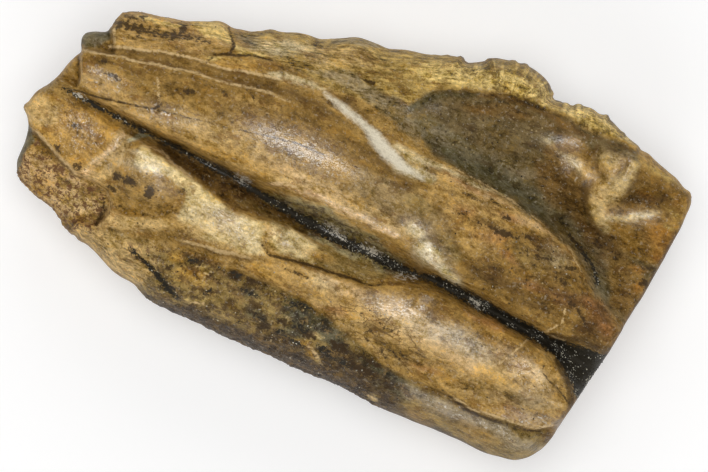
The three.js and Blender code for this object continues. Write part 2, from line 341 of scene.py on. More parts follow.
class Pigment(Enum):
    """Colours of the mineral, as linear red, green and blue."""

    BRONZE = (0.265, 0.155, 0.042)
    DEEP_BRONZE = (0.2, 0.112, 0.026)
    HONEY = (0.37, 0.225, 0.075)
    PALE_HONEY = (0.44, 0.29, 0.12)
    SAND = (0.51, 0.38, 0.185)
    CREAM = (0.88, 0.79, 0.6)
    OATMEAL = (0.54, 0.43, 0.26)
    AMBER = (0.36, 0.2, 0.045)
    BRIGHT_AMBER = (0.42, 0.24, 0.05)
    OCHRE = (0.32, 0.215, 0.065)
    STRAW = (0.56, 0.40, 0.15)
    ROSY = (0.60, 0.40, 0.22)
    # pale colour painted where highlights fall: on the knob, the pillows, glossy places and as glints in the
    # seam
    PAINTED_HIGHLIGHT = (0.72, 0.65, 0.52)
    # pale edge lines: painted highlights along the ledges and the pink ridge, pale mineral elsewhere
    PALE_EDGE_AND_HIGHLIGHT = (0.76, 0.54, 0.26)
    KHAKI = (0.34, 0.28, 0.15)
    RUST = (0.26, 0.115, 0.04)
    RED_BROWN = (0.15, 0.065, 0.025)
    ORANGE = (0.24, 0.105, 0.016)
    UMBER = (0.13, 0.07, 0.018)
    DARK_UMBER = (0.048, 0.026, 0.008)
    OLIVE = (0.2, 0.135, 0.045)
    TAUPE = (0.22, 0.165, 0.095)
    GREY_BROWN = (0.125, 0.086, 0.036)
    SLATE = (0.1, 0.09, 0.055)
    PALE_SLATE = (0.33, 0.32, 0.25)
    BLACK = (0.03, 0.025, 0.016)


@dataclass(frozen=True)
class Field:
    """A stain with a plan of its own, and how wide its edge is."""

    soft: float
    corners: list[Plan]

    def reach(self, x: Array, y: Array) -> Array:
        """Distance inside the stain's edge, less than 0 outside it."""
        return Path(self.corners, closed=True).depth_inside(x, y)

    def cover(self, x: Array, y: Array) -> Array:
        """How much of the stain lies at each point, from 0 to 1."""
        return smooth_step(self.reach(x, y), -self.soft / 2, self.soft / 2)


@dataclass(frozen=True)
class Blot:
    """An oval stain that thins out towards its edge, and its strength in the middle."""

    at: Plan
    radii: Plan
    turn: float = 0.0
    weight: float = 1.0

    def radius(self, x: Array, y: Array) -> Array:
        """Distance from the middle, counted in radii."""
        return np.hypot(*oval_axes(x, y, self.at, self.radii, self.turn))

    def reach(self, x: Array, y: Array) -> Array:
        """Distance inside the stain's edge, less than 0 outside it."""
        return (1.0 - self.radius(x, y)) * min(self.radii)

    def cover(self, x: Array, y: Array) -> Array:
        """How much of the stain lies at each point, from 0 to 1."""
        return self.weight * np.exp(-(self.radius(x, y) ** 3))


def blots(*rows: tuple[float, ...]) -> list[Blot]:
    """Oval stains, each as x, y, half its length and width, and any turn and strength."""
    return [Blot(row[:2], row[2:4], *row[4:]) for row in rows]


@dataclass(frozen=True)
class Streak:
    """A stain along a path, given as x, y and half its width there."""

    path: list[Triple]

    def moved(self, dx: float, dy: float, wider: float) -> "Streak":
        """A copy that lies beside this one and is that much wider on each side."""
        return Streak([(x + dx, y + dy, half + wider) for x, y, half in self.path])

    def edge(self, x: Array, y: Array) -> tuple[Array, Array]:
        """Distance from the path, and half its width there."""
        points = np.array(self.path)
        distance, place, _ = Path(points[:, :2].tolist()).measure(x, y)
        return distance, np.interp(place, np.arange(len(points)), points[:, 2])

    def reach(self, x: Array, y: Array) -> Array:
        """Distance inside the stain's edge, less than 0 outside it."""
        distance, half = self.edge(x, y)
        return half - distance

    def cover(self, x: Array, y: Array) -> Array:
        """How much of the stain lies at each point, from 0 to 1."""
        distance, half = self.edge(x, y)
        return np.exp(-((distance / half) ** 4))


def streaks(*paths: list[Triple]) -> list[Streak]:
    """Stains along paths."""
    return [Streak(path) for path in paths]


@dataclass(frozen=True)
class Coat:
    """A layer of one pigment: a stain, painted shade or a painted highlight.

    Attributes:
        pigment: Its colour.
        strength: How much of what is under it the colour hides.
        shapes: Where it lies.
    """

    pigment: Pigment
    strength: float
    shapes: list[Field | Blot | Streak]


class Mask(Enum):
    """Names of the mesh attributes that the finish and the weathering read."""

    COAT = "coat"
    SOOT = "soot"
    CRACK = "crack"
    # dark stains, and one streak of painted shadow at the foot of the step by the plane under the knob
    STAIN = "stain"
    CREAM = "cream"
    # pale edge lines: painted highlights along the ledges and the pink ridge, pale mineral elsewhere
    EDGE = "edge"
    # painted shadow at the foot of ledges and steps, in creases and under the rim
    FOOT = "foot"
    # painted highlights: small glints in the seam
    GLINT = "glint"
    MOTTLE = "mottle"
    CRAZE = "craze"
    # painted shade: darker where the face lies below its neighbours, lighter where it stands above them
    WORN = "worn"
    SPECK = "speck"
    GRANULAR = "granular"
    FIBRE = "fibre"
    GLOSS = "gloss"
    BEAD = "bead"
    SKIN = "skin"
    RIM_ALONG = "rim_along"
    RIM_IN = "rim_in"


# the four sides of the plan outline, each from its root end or its lower end
LOWER_FLANK = [
    (-15, -6.5), (-14.4, -6.75), (-13.8, -6.98), (-13.2, -7.08), (-12.6, -7.27), (-12.2, -7.5),
    (-11.9, -7.77), (-11.4, -8), (-11.15, -7.98), (-10.85, -8.12), (-10.3, -8.17), (-9.6, -8.42),
    (-8.9, -8.72), (-8.3, -8.88), (-7.5, -8.93), (-6.9, -9.18), (-6.3, -9.33), (-5, -9.38),
    (-3.8, -9.36), (-2.5, -9.38), (-1, -9.36), (0.4, -9.28), (1.5, -9.34), (2.8, -9.26), (4.2, -9.2),
    (5.4, -9.3), (6.6, -9.34), (8, -9.26), (9.2, -9.2), (10.4, -9.14), (12, -9.18), (12.9, -9.04),
    (13.6, -8.86), (14.1, -8.5), (14.35, -8.2),
]
CRENULATED_MARGIN = [
    (-13.65, 3.15), (-13.2, 3.4), (-12.6, 3.62), (-12, 3.75), (-11.2, 3.95), (-10.6, 4.1), (-10, 4.38),
    (-9.5, 4.6), (-9.1, 4.8), (-8.7, 4.83), (-8.3, 4.8), (-7.9, 4.9), (-7.4, 5.02), (-7, 5.25),
    (-6.6, 5.52), (-6, 5.66), (-5.5, 5.88), (-5, 6.05), (-4.2, 6.12), (-3.6, 6.4), (-3.1, 6.68),
    (-2.7, 6.9), (-2.2, 7.06), (-1.5, 7.12), (-0.9, 7.15), (-0.4, 7.32), (0, 7.48), (0.6, 7.62),
    (1.2, 7.78), (1.7, 8), (2.2, 8.2), (2.65, 8.33), (3.05, 8.24), (3.4, 8.42), (3.8, 8.7), (4.1, 9),
    (4.5, 9.14), (5.1, 9.28), (5.8, 9.38), (6.5, 9.3), (7, 9.14), (7.35, 8.92), (7.55, 8.62),
    (7.72, 8.42), (8.1, 8.42), (8.6, 8.48), (9.1, 8.66), (9.6, 8.8), (10, 8.72), (10.4, 8.76),
    (10.9, 8.62), (11.4, 8.42), (12, 8.18), (12.5, 8.06), (12.75, 7.88), (13.2, 7.86), (13.8, 7.66),
    (14.4, 7.5), (15, 7.34), (15.5, 7.1), (15.85, 7.02), (16.05, 6.8),
]
ROOT_END = [
    (-15, -6.5), (-15.2, -6.15), (-15.34, -5.75), (-15.36, -5.1), (-15.4, -4.5), (-15.52, -4),
    (-15.78, -3.55), (-16.08, -3.28), (-16.14, -3.1), (-16.02, -2.85), (-15.9, -2.3), (-15.7, -1.95),
    (-15.4, -1.5), (-15.15, -0.9), (-15, -0.3), (-14.82, 0.2), (-14.68, 0.5), (-14.85, 0.85),
    (-14.93, 1.15), (-14.85, 1.45), (-14.55, 1.68), (-14, 1.93), (-13.85, 2.2), (-13.8, 2.7),
    (-13.65, 3.15),
]
CUTTING_END = [
    (14.35, -8.2), (14.62, -7.7), (14.78, -7.1), (14.9, -6.2), (15.02, -5.3), (15.2, -4.2), (15.45, -2.7),
    (15.6, -1.4), (15.75, 0), (15.92, 1.3), (16.02, 2.6), (16.12, 3.9), (16.18, 5), (16.17, 5.9),
    (16.17, 6.4), (16.05, 6.8),
]

# the long lines of the face, from the flank up to the margin
RAILS = {
    "lip of the flank": Rail(24, [
        (-15, -6.2, 7.5), (-12, -6.7, 7.6), (-8, -6.8, 8.1), (-4, -6.3, 8.6), (0, -6.2, 9), (3, -6.6, 9),
        (6, -7.1, 8.9), (10, -7.2, 8.8), (13, -7, 8.6), (15, -6.6, 8.3),
    ]),
    "crest of the lower lobe": Rail(13, [
        (-15, -4.9, 8.2), (-12, -4.9, 8.4), (-8, -5.3, 9), (-4, -5.3, 9.35), (0, -5.2, 9.7),
        (4, -5.2, 9.95), (8, -5.1, 10), (12, -5.2, 9.8), (15, -5.4, 9.2),
    ]),
    "lower bank of the seam": Rail(17, [
        (-16, -3.1, 8.6), (-12, -2.6, 9.1), (-9.5, -2.7, 9.9), (-7, -3, 9.9), (-4, -3.6, 9.75),
        (-2.3, -3.5, 9.5), (0, -3.7, 9.15), (2.5, -3.8, 9.2), (4.5, -3.4, 9.55), (8, -3.2, 9.8),
        (11, -3.4, 9.75), (13, -3.8, 9.5), (15, -4.6, 8.9),
    ]),
    "floor of the seam": Rail(12, [
        (-16, -1.9, 8.6), (-14, -1.6, 8.9), (-10, -1.85, 8.8), (-5, -2.05, 8.5), (-2, -2.35, 8.2),
        (1, -2.45, 8.1), (4, -2.55, 8.2), (6, -2.4, 8.5), (10, -2.65, 8.4), (12.5, -2.8, 8.1),
        (15.4, -3.1, 7.7),
    ]),
    "upper bank of the seam": Rail(10, [
        (-15, -1.15, 9.6), (-10, -1.25, 10.3), (-5, -1.35, 10.4), (0, -1.15, 10.55), (3.5, -1.25, 10.5),
        (5.5, -1.6, 10.3), (8, -1.8, 10), (12, -2.05, 9.7), (15.6, -2, 9),
    ]),
    "crest of the main lobe": Rail(17, [
        (-14.5, -0.1, 10.4), (-10, 0.4, 11), (-5, 0.6, 11.4), (0, 0.7, 11.5), (4, 0.5, 11.3),
        (8, 0.6, 10.8), (12, 0, 10.2), (15.7, -0.8, 9.4),
    ]),
    "upper shoulder of the main lobe": Rail(19, [
        (-14.6, 0.7, 10.2), (-12, 1.3, 10.5), (-9, 2, 10.7), (-6, 2.5, 10.8), (-3.5, 2.8, 10.7),
        (-1, 3.1, 10.4), (2, 2.9, 10), (5, 3, 9.6), (8, 2.8, 9.3), (10, 2.3, 9.2), (12, 1.5, 9.1),
        (13.6, 0.5, 8.9), (15.6, -0.4, 8.7),
    ]),
    "floor of the trough": Rail(16, [
        (-13.8, 2.1, 9.8), (-10, 3.2, 9.7), (-6, 4.2, 9.5), (-3, 4.7, 9.3), (0, 4.8, 9.1), (2, 4.6, 8.8),
        (4, 4.3, 8.5), (7, 3.8, 8.1), (9, 3.4, 7.8), (11, 2.9, 7.5), (13, 2.4, 7.3), (16, 1.9, 7.5),
    ]),
    "ridge that carries the margin": Rail(28, [
        (-13.7, 2.8, 9.2), (-10, 3.9, 8.8), (-6, 5.2, 8.5), (-2, 6.4, 8.4), (2, 6.6, 8.7), (5, 7.1, 8.9),
        (8, 7.3, 9), (12, 7.2, 8.9), (14, 6.8, 8.5), (16, 6.3, 8.2),
    ]),
}

# what breaks, swells and folds the face between the rails
RELIEF = {
    "granular break at the root end": Break(1.15, 0.14, [
        (-17, -3.9), (-15, -4.12), (-13.6, -4.7), (-12.35, -5.2), (-11.5, -5.05), (-10.6, -5.2),
        (-10.15, -5.75), (-10.1, -6.3), (-10.3, -7), (-11.2, -7.3), (-11.4, -7.7), (-12, -9), (-17, -9),
    ]),
    "recess at the root end": Break(1.1, 0.12, [
        (-17, -1), (-14.9, -1.15), (-14.12, -1.2), (-14.15, -0.7), (-14.35, -0.2), (-14.65, 0.45),
        (-17, 0.8),
    ]),
    "low layer beside the splinter": Break(0.95, 0.12, [
        (-17, 0.4), (-14.7, 0.55), (-13.9, 0.9), (-13.15, 1.1), (-13.3, 1.4), (-13.62, 1.85), (-13.9, 2.1),
        (-17, 2.6),
    ]),
    "channel beside the splinter": Break(0.2, 0.1, [
        (-14.2, 0.75), (-13, 1.05), (-11, 1.47), (-9, 1.95), (-7, 2.25), (-5.3, 2.62), (-4.6, 2.8),
        (-5.2, 3.1), (-6.2, 3.1), (-8, 2.75), (-10, 2.42), (-12, 1.85), (-13.2, 1.4),
    ]),
    "notch at the cutting end": Break(0.6, 0.25, [
        (12.4, -2.5), (14, -2.2), (17, -1.9), (17, -4.8), (15, -4.6), (14, -3.8), (13, -3.2),
    ]),
    "knob by the root end": Swelling((-9, -3.75), (2.5, 1.8), 0.72, -8),
    "blister in the seam": Swelling((-4.7, -1.85), (0.7, 0.25), 0.2),
    "second blister": Swelling((2.6, -2.4), (0.6, 0.25), 0.2),
    "third blister": Swelling((0.5, -2.2), (0.7, 0.2), 0.16),
    "boss in the far corner": Swelling((11.6, 6.5), (1, 0.9), 0.5),
    "shoulder under the boss": Swelling((11.2, 5.3), (1.7, 1.2), 0.35, 60),
    "pillow below the main lobe": Swelling((5.4, -1.65), (1.2, 0.85), 0.42, -25),
    "pillow further along": Swelling((6.9, -2.2), (1, 0.45), 0.32, -15),
    "pillow by the ridge": Swelling((4.2, -0.7), (0.6, 0.5), 0.16),
    "pillow on the lower lobe": Swelling((6.1, -3.8), (0.6, 0.5), 0.16),
    "pit in the fibrous slope": Swelling((-1, 5.25), (0.38, 0.22), -0.3, -20),
    "pit by the crack": Swelling((-10, -0.5), (0.18, 0.3), -0.2),
    "ridge that curls down from the boss": Fold(0.75, 0.42, [
        (11.7, 6.9), (12.45, 6.3), (12.3, 5.5), (11.9, 4.8), (12.1, 4.1), (12.9, 3.5),
    ]),
    "ridge out to the end": Fold(0.7, 0.26, [(12.4, 4.2), (13.5, 4.6), (14.6, 5), (16.2, 5.4)], 0.3),
    "valley between ridge and boss": Fold(0.55, -0.4, [
        (12.8, 5.3), (13.8, 5.7), (15, 6.1), (16.2, 6.4),
    ], 0.3),
    "valley at the ridge's foot": Fold(0.8, -0.3, [
        (10.2, 4.1), (11.2, 3.5), (12.4, 2.95), (13.9, 2.75), (16, 2.9),
    ], 0.3),
    "upper fold beside the boss": Fold(0.5, 0.16, [(7.8, 5.9), (9.2, 6.55), (10.6, 6.95)], 0.3),
    "crease beside the boss": Fold(0.2, -0.3, [(10.7, 7.4), (10.8, 6.6), (11.2, 6), (12, 5.8)], 0.3),
    "crease beyond the boss": Fold(0.2, -0.25, [(12.4, 7.3), (12.5, 6.6), (12.3, 6)], 0.3),
    "lower fold beside the boss": Fold(0.6, 0.2, [(8.8, 5.1), (10, 5.45), (11.4, 5.2)], 0.3),
    "step down to the seam": Scarp(Side.LEFT, 0.3, 0.1, 0.9, [
        (-9.3, -2.2), (-8.5, -2.6), (-7, -2.85), (-5.2, -3.25), (-4.5, -3.4), (-3.3, -3.35), (-2, -3.05),
        (-1.2, -3), (0.3, -3.3),
    ]),
    "step under the second scoop": Scarp(Side.LEFT, 0.4, 0.14, 1.1, [
        (-2.4, -4.4), (-1.8, -4.72), (0, -4.38), (2, -4.15), (3.2, -4), (4, -3.6), (5, -3.1), (6, -2.7),
    ]),
    "divide between the scoops": Scarp(Side.LEFT, 0.22, 0.16, 0.8, [
        (-3, -3.3), (-2.6, -3.9), (-2.2, -4.4), (-1.8, -4.7),
    ]),
    "ledge under the first scoop": Scarp(Side.RIGHT, 0.22, 0.07, 0.5, [
        (-6.2, -5.95), (-5.2, -5.72), (-4.3, -5.7), (-3.6, -5.42), (-3, -5.4), (-1.8, -4.9),
    ]),
    "edge of the knob": Scarp(Side.LEFT, 0.25, 0.1, 0.7, [
        (-10.6, -5.2), (-10, -5.85), (-9.5, -6), (-8.3, -5.6), (-7.5, -5.2), (-7, -4.6), (-6.85, -3.9),
    ]),
    "edge of the plane under the knob": Scarp(Side.RIGHT, 0.3, 0.1, 0.8, [
        (-10.1, -6.85), (-9.2, -6.85), (-8.4, -6.4), (-7.6, -5.95), (-6.7, -5.5),
    ]),
    "cross step": Scarp(Side.RIGHT, 0.28, 0.16, 2.4, [
        (-11.9, -4.8), (-11.5, -4), (-11.1, -3.2), (-10.9, -2.2),
    ]),
    "ridge over the trough": Scarp(Side.RIGHT, 0.35, 0.16, 1.6, [
        (1.2, 5), (1.8, 5.6), (2.3, 6.2), (3, 6.62), (4, 6.98), (5, 7.3), (6, 7.65), (8, 7.78), (10, 7.85),
        (12, 7.85), (12.7, 7.6),
    ]),
    "cream slope beside the main lobe": Scarp(Side.LEFT, 0.4, 0.38, 1.6, [
        (-2.6, 3.55), (-1.5, 3.3), (-0.3, 3.1), (0.4, 2.6), (1.2, 2.1), (2.3, 1.75), (3.5, 1.7), (4.6, 1.9),
    ]),
    "edge of the far lobe": Scarp(Side.LEFT, 0.3, 0.12, 1.5, [
        (4.5, 3.05), (6.5, 2.92), (8.5, 2.68), (10.5, 2.2), (11.8, 1.85), (12.6, 1.25), (13.4, 0.6),
        (14.2, -0.2), (15.5, -1.3),
    ]),
    "line between the two lobes": Fold(0.22, -0.14, [
        (4.4, 1.4), (4.8, 0.9), (5.8, 0.1), (7, -0.8), (8.2, -1.3),
    ]),
    "lip above the flank": Scarp(Side.RIGHT, 0.4, 0.12, 1.2, [
        (3.6, -6.8), (5, -7.1), (6.5, -7.35), (8.5, -7.2), (10.5, -7.45), (12.5, -7.3), (14, -6.9),
        (14.6, -6.4),
    ]),
    "lip left of it": Scarp(Side.RIGHT, 0.14, 0.12, 0.9, [
        (-10, -6.95), (-8.5, -6.9), (-7.5, -6.35), (-6, -6.15), (-3.5, -6.15), (-1, -6.05), (1, -6.1),
        (3, -6.5),
    ]),
    "slit in the flank": Fold(0.13, -0.4, [(-8.3, -7.35), (-6.7, -7.9), (-6, -8.25), (-5.2, -8.6)]),
    "crack of the main lobe": Fold(0.07, -0.12, [
        (-14.2, -1.35), (-12, -1), (-10.2, -0.6), (-9, -0.35),
    ], 0.05),
    "end crack of the splinter": Fold(0.07, -0.14, [
        (-8.5, 4.7), (-8.15, 4.3), (-7.9, 4), (-7.9, 3.55), (-8.5, 3.2), (-8.8, 2.5),
    ]),
    "crack beyond the splinter": Fold(0.07, -0.12, [(-8.7, 3.1), (-7.6, 3.6), (-6.9, 3.95), (-5.8, 4.1)]),
    "seam": Fold(0.34, -0.35, [
        (-14.6, -1.5), (-12, -1.7), (-9.8, -1.8), (-7, -1.9), (-4, -2.05), (-2, -2.3), (0, -2.4), (2, -2.5),
        (4, -2.6), (5.3, -2.5), (6, -2.35), (8, -2.45), (10, -2.6), (12, -2.75), (14, -2.9),
    ], 0.04),
    "pink ridge by the seam": Fold(0.28, 0.12, [
        (-3.5, -1.5), (-2.2, -1.05), (0, -1.1), (2, -1.15), (3.6, -1.35),
    ]),
}

# the stains, from the lowest up; some are painted shade and some painted highlights, as marked
COATS = [
    # the two lobes and the plates at the root end
    Coat(Pigment.DEEP_BRONZE, 0.9, [Field(0.5, [(-14.4, 0.6), (-5, 2.7), (-2, 3), (1, 1.9), (4, 1.6),
        (4, 1), (-3, 1.2), (-8, 0.8), (-14, 0.2)])]),
    Coat(Pigment.HONEY, 0.9, [
        Field(0.4, [(-14.2, -1.2), (-10, -0.5), (-5, 0.3), (-3, -0.2), (4, -0.3), (3.4, -1.5), (-2, -1.6),
            (-14, -1.5)]),
        *blots((-13.2, -0.5, 1.4, 0.6)),
    ]),
    Coat(Pigment.PALE_HONEY, 0.8, [
        Field(0.3, [(-3.4, -1.3), (-2, -0.2), (2, -0.4), (4.2, -0.9), (3.4, -1.35), (0, -1.3)]),
        *blots((-6.4, -0.3, 3, 0.5, 4, 0.8)),
    ]),
    Coat(Pigment.TAUPE, 0.5, [Field(0.5, [(0.3, 1.1), (3.2, 1.2), (5, 0.8), (7, -0.8), (6.5, -1.8),
        (4.5, -1.8), (4, -0.6), (0.2, -0.2)])]),
    Coat(Pigment.OLIVE, 0.7, blots((3.7, 0.8, 0.9, 0.5), (6.4, -0.6, 0.9, 0.3, -35))),
    Coat(Pigment.AMBER, 0.9, [Field(0.2, [(-16.2, -3.1), (-15.4, -2.1), (-11.4, -2), (-11.2, -3.1),
        (-11.9, -4.2), (-12.4, -5.2), (-14, -4.5), (-15.6, -3.9)])]),
    Coat(Pigment.PALE_HONEY, 0.8, [
        Field(0.25, [(-16.3, -3.2), (-15.6, -2.2), (-14.4, -2.4), (-14.3, -3.3), (-15.2, -4)]),
        Field(0.2, [(-12.1, -4.6), (-11.4, -3.4), (-11.3, -2.1), (-10.4, -2.2), (-10.5, -3.6),
            (-11.1, -4.9), (-11.8, -5.1)]),
    ]),
    Coat(Pigment.HONEY, 0.9, [Field(0.2, [(-15.4, -4.3), (-12.4, -5.3), (-10.2, -5.4), (-10.2, -7.4),
        (-15.2, -6.8)])]),
    Coat(Pigment.ROSY, 0.6, blots((-12.2, -6.1, 2, 1.1, -10), (-14.4, -5.8, 0.6, 0.7))),
    Coat(Pigment.BRONZE, 0.75, [Field(0.3, [(-10.7, -3.9), (-8.4, -4), (-7.5, -4.2), (-7.1, -4.8),
        (-7.6, -5.3), (-9.4, -6), (-10.6, -5.2)])]),
    Coat(Pigment.AMBER, 0.5, blots((-9, -5.5, 1.4, 0.45, 10), (-7.3, -4.6, 0.3, 0.6, -25))),
    Coat(Pigment.PALE_HONEY, 0.85, [Field(0.2, [(-10.1, -6), (-9.3, -6.05), (-7.4, -5.3), (-6.8, -5.5),
        (-8.2, -6.35), (-9.1, -6.85), (-10.1, -6.85)])]),
    Coat(Pigment.SAND, 1.0, [Field(0.2, [(-9.9, -2.3), (-8.8, -2.5), (-7.2, -2.9), (-5.2, -3.3),
        (-4.4, -3.5), (-3.2, -3.4), (-2, -3.1), (-1.2, -3.05), (0.4, -3.4), (0.2, -4.2), (-1.7, -4.55),
        (-2.6, -5), (-4.2, -5.5), (-6, -5.5), (-6.8, -4.9), (-6.9, -3.7), (-8, -3.3), (-9.8, -3.4)])]),
    Coat(Pigment.OATMEAL, 0.35, blots((-4.4, -4, 1.2, 0.4, -12), (-1, -3.4, 0.8, 0.3))),
    # painted highlight on the top of the knob
    Coat(Pigment.PAINTED_HIGHLIGHT, 0.35, blots((-9.1, -3.35, 1.1, 0.3, 12), (-9.7, -2.75, 0.5, 0.12, 10))),
    # painted highlight on the pillow further along
    Coat(Pigment.PAINTED_HIGHLIGHT, 0.6, blots((6.6, -1.9, 0.6, 0.2, -15))),
    Coat(Pigment.SAND, 0.4, blots((-11.5, -6.3, 1.3, 0.8))),
    Coat(Pigment.BRONZE, 0.6, blots((-9, -5, 1.6, 0.7), (-9.6, -4.3, 1, 0.25))),
    Coat(Pigment.HONEY, 0.8, [
        Streak([(-2.7, -3.5, 0.2), (-2.2, -4.3, 0.3), (-1.4, -4.7, 0.2)]),
        Field(0.3, [(-6.5, -5.6), (-2.6, -5), (0, -4.6), (3, -4.4), (4.4, -5.2), (3.4, -6.4), (0, -6),
            (-6, -6)]),
        *blots((-6, -5.2, 1, 0.4)),
    ]),
    Coat(Pigment.OLIVE, 0.85, [Field(0.3, [(0.1, -3.2), (4.2, -3), (4.6, -3.3), (3, -4), (0.3, -4.2),
        (0, -3.8)])]),
    Coat(Pigment.AMBER, 0.6, blots((0.4, -3.7, 0.8, 0.25, 8), (3.8, -3.5, 0.8, 0.2, 25))),
    Coat(Pigment.PALE_HONEY, 0.6, [Field(0.4, [(0, -4.7), (4, -4.4), (8, -4.2), (14, -5.2), (14.2, -6.5),
        (9, -7), (4.4, -6.8), (1, -5.9)])]),
    Coat(Pigment.DEEP_BRONZE, 0.95, [Field(0.35, [(4.2, -3.6), (6.6, -2.75), (12.4, -3), (13.8, -3.9),
        (11, -4.2), (9, -3.8)])]),
    Coat(Pigment.HONEY, 0.7, blots((13, -5.9, 1.6, 0.8, 15), (3, -5.2, 1.2, 0.6))),
    Coat(Pigment.AMBER, 0.5, blots(
        (10.2, -3.4, 1.3, 0.35), (8.5, -6.6, 1.4, 0.35), (-1.6, -5.7, 1, 0.3), (12, -6.9, 1.2, 0.2),
    )),
    Coat(Pigment.BRONZE, 0.5, blots((8, -6.3, 3, 0.45), (5.4, -6, 1.4, 0.5), (9.8, -5.7, 2.4, 0.35, -4))),
    # painted highlights on the upper side of the lower lobe
    Coat(Pigment.OATMEAL, 0.5, blots(
        (8.3, -4.6, 1.8, 0.5), (12.6, -4.5, 1, 0.35, -15), (1.3, -4.8, 0.8, 0.3), (6.4, -4.9, 1.4, 0.5),
    )),
    Coat(Pigment.HONEY, 0.7, [Field(0.25, [(12, -3.1), (13.2, -3.35), (14.3, -4.3), (13.6, -4.3),
        (12.4, -3.8)])]),
    # the banks of the seam
    Coat(Pigment.UMBER, 0.97, [Field(0.12, [(-9.6, -1.95), (-5, -2.05), (-2.5, -2.3), (0.4, -2.7),
        (0.3, -3.2), (-1.2, -2.95), (-2, -3), (-3.3, -3.3), (-4.5, -3.35), (-5.2, -3.2), (-7, -2.8),
        (-8.5, -2.55), (-9.3, -2.15)])]),
    Coat(Pigment.OLIVE, 0.55, blots(
        (-3.6, -2.95, 1.3, 0.22, -5), (-1, -2.75, 0.7, 0.15), (2, -2.95, 1.6, 0.14),
    )),
    Coat(Pigment.KHAKI, 0.95, [
        Field(0.22, [(-3.4, -2), (-2.4, -1.65), (-1, -1.4), (0.4, -1.5), (2, -1.6), (3.4, -2), (4.4, -2.2),
            (4.2, -2.5), (-3, -2.4)]),
        Field(0.2, [(-0.6, -2.7), (4.6, -2.8), (4.2, -3.05), (1, -3.1), (-0.4, -3)]),
    ]),
    # channel, splinter and the layers beside them
    # painted shade in the channel beside the splinter
    Coat(Pigment.UMBER, 0.25, [Field(0.12, [(-13, 1.1), (-9, 2), (-5.3, 2.65), (-3.2, 2.75), (-1.4, 2.75),
        (-2.6, 3.2), (-5, 3.15), (-8, 2.6), (-12, 1.7)])]),
    Coat(Pigment.HONEY, 0.8, [Field(0.15, [(-13.7, 3), (-12, 3.8), (-10, 4.4), (-8.8, 4.8), (-8, 4.2),
        (-8.6, 3.3), (-10, 2.6), (-13.1, 1.5), (-13.6, 2.3)])]),
    Coat(Pigment.STRAW, 0.75, [
        *streaks([(-12.9, 3.2, 0.08), (-11.4, 3.5, 0.12), (-10.6, 3.75, 0.1)], [(-8.7, 2.9, 0.1),
            (-7.7, 3.25, 0.13), (-6.6, 3.6, 0.1)]),
        Field(0.18, [(-10.4, 4.2), (-9, 4.75), (-8.2, 4.5), (-8.1, 3.9), (-9, 3.95), (-10.2, 3.8)]),
        Field(0.15, [(-8, 4), (-6.3, 4.3), (-6.1, 4.15), (-7.6, 3.7)]),
    ]),
    Coat(Pigment.AMBER, 0.8, [
        Field(0.15, [(-8.4, 2.75), (-6.2, 3.3), (-5.2, 3.7), (-5.4, 4.1), (-6.6, 3.75), (-8.2, 3.2)]),
        *blots((-14.2, 0.1, 0.4, 0.5), (-13.1, 1.6, 0.5, 0.12, 20)),
    ]),
    Coat(Pigment.UMBER, 0.85, blots((-5.4, 3.95, 0.5, 0.12))),
    # far side: fibrous slope, trough, far lobe and rim
    Coat(Pigment.OCHRE, 0.75, [Field(0.3, [(-8, 4.5), (-3, 4.1), (0, 4.2), (1.2, 5.1), (2.2, 6.3),
        (4, 7.05), (6, 7.75), (12.7, 7.9), (13, 9), (5, 9.8), (-6, 6.5)])]),
    Coat(Pigment.PALE_HONEY, 0.7, blots((-6, 4.9, 1.6, 0.4, 20), (-3, 5.6, 1.8, 0.6, 15))),
    Coat(Pigment.TAUPE, 0.8, [
        Field(0.25, [(-4, 4.4), (-2.6, 4.5), (0, 4.1), (2.6, 3.4), (1.6, 4.9), (-0.6, 5.15), (-2.6, 5.1)]),
        Streak([(-3.6, 6.3, 0.15), (-2.4, 6.75, 0.2), (-1.4, 7, 0.12)]),
        *blots((-7.2, 4.5, 0.9, 0.2), (-5.4, 4.8, 0.7, 0.25, 20)),
    ]),
    Coat(Pigment.STRAW, 1.0, [Streak([(1.2, 6.9, 0.4), (3.4, 7.6, 0.5), (5.2, 8.3, 0.7), (6.8, 8.3, 0.6),
        (7.8, 8.2, 0.3), (9.4, 8.4, 0.45), (12, 8.2, 0.3)])]),
    Coat(Pigment.GREY_BROWN, 1.0, [Field(0.25, [(1.3, 5), (2, 5.9), (2.8, 6.5), (4, 6.95), (5.4, 7.35),
        (6.5, 7.7), (12.6, 7.75), (13, 7), (11, 6), (12, 4.6), (13.6, 3), (16.4, 2.9), (16, -0.4),
        (14.4, -0.4), (13.3, 0.7), (12.4, 1.6), (11.4, 1.95), (9, 2.5), (6.5, 2.95), (3.6, 3.2),
        (2.2, 4)])]),
    Coat(Pigment.TAUPE, 0.8, blots(
        (3.2, 4.2, 1.5, 0.5, -10), (7, 4.4, 1.8, 0.3), (13.2, 0.9, 1.3, 0.5, -45),
    )),
    Coat(Pigment.SLATE, 0.5, [
        Field(0.35, [(1.5, 4.3), (4, 3.2), (8.4, 2.9), (10.5, 2.5), (9.2, 3.9), (7.6, 4.2), (5.6, 4.5),
            (2.5, 4.9)]),
        *blots((1.9, 5.4, 0.9, 0.2, 45), (10.4, 3.1, 1.4, 0.25, -15), (13.9, 0.7, 1.1, 0.35, -50)),
    ]),
    Coat(Pigment.UMBER, 0.85, [
        Field(0.4, [(8.2, 5.4), (8.8, 3.9), (10.4, 3.5), (12, 3.1), (14.5, 2.85), (14.8, 2.5), (12.2, 2.5),
            (11.2, 4.2), (10.2, 4.8)]),
        # the streak is painted shade in the groove under the rim
        Streak([(3.6, 6.75, 0.15), (5.2, 7.2, 0.18), (6.4, 7.5, 0.22), (8.4, 7.4, 0.25), (10, 7.3, 0.2)]),
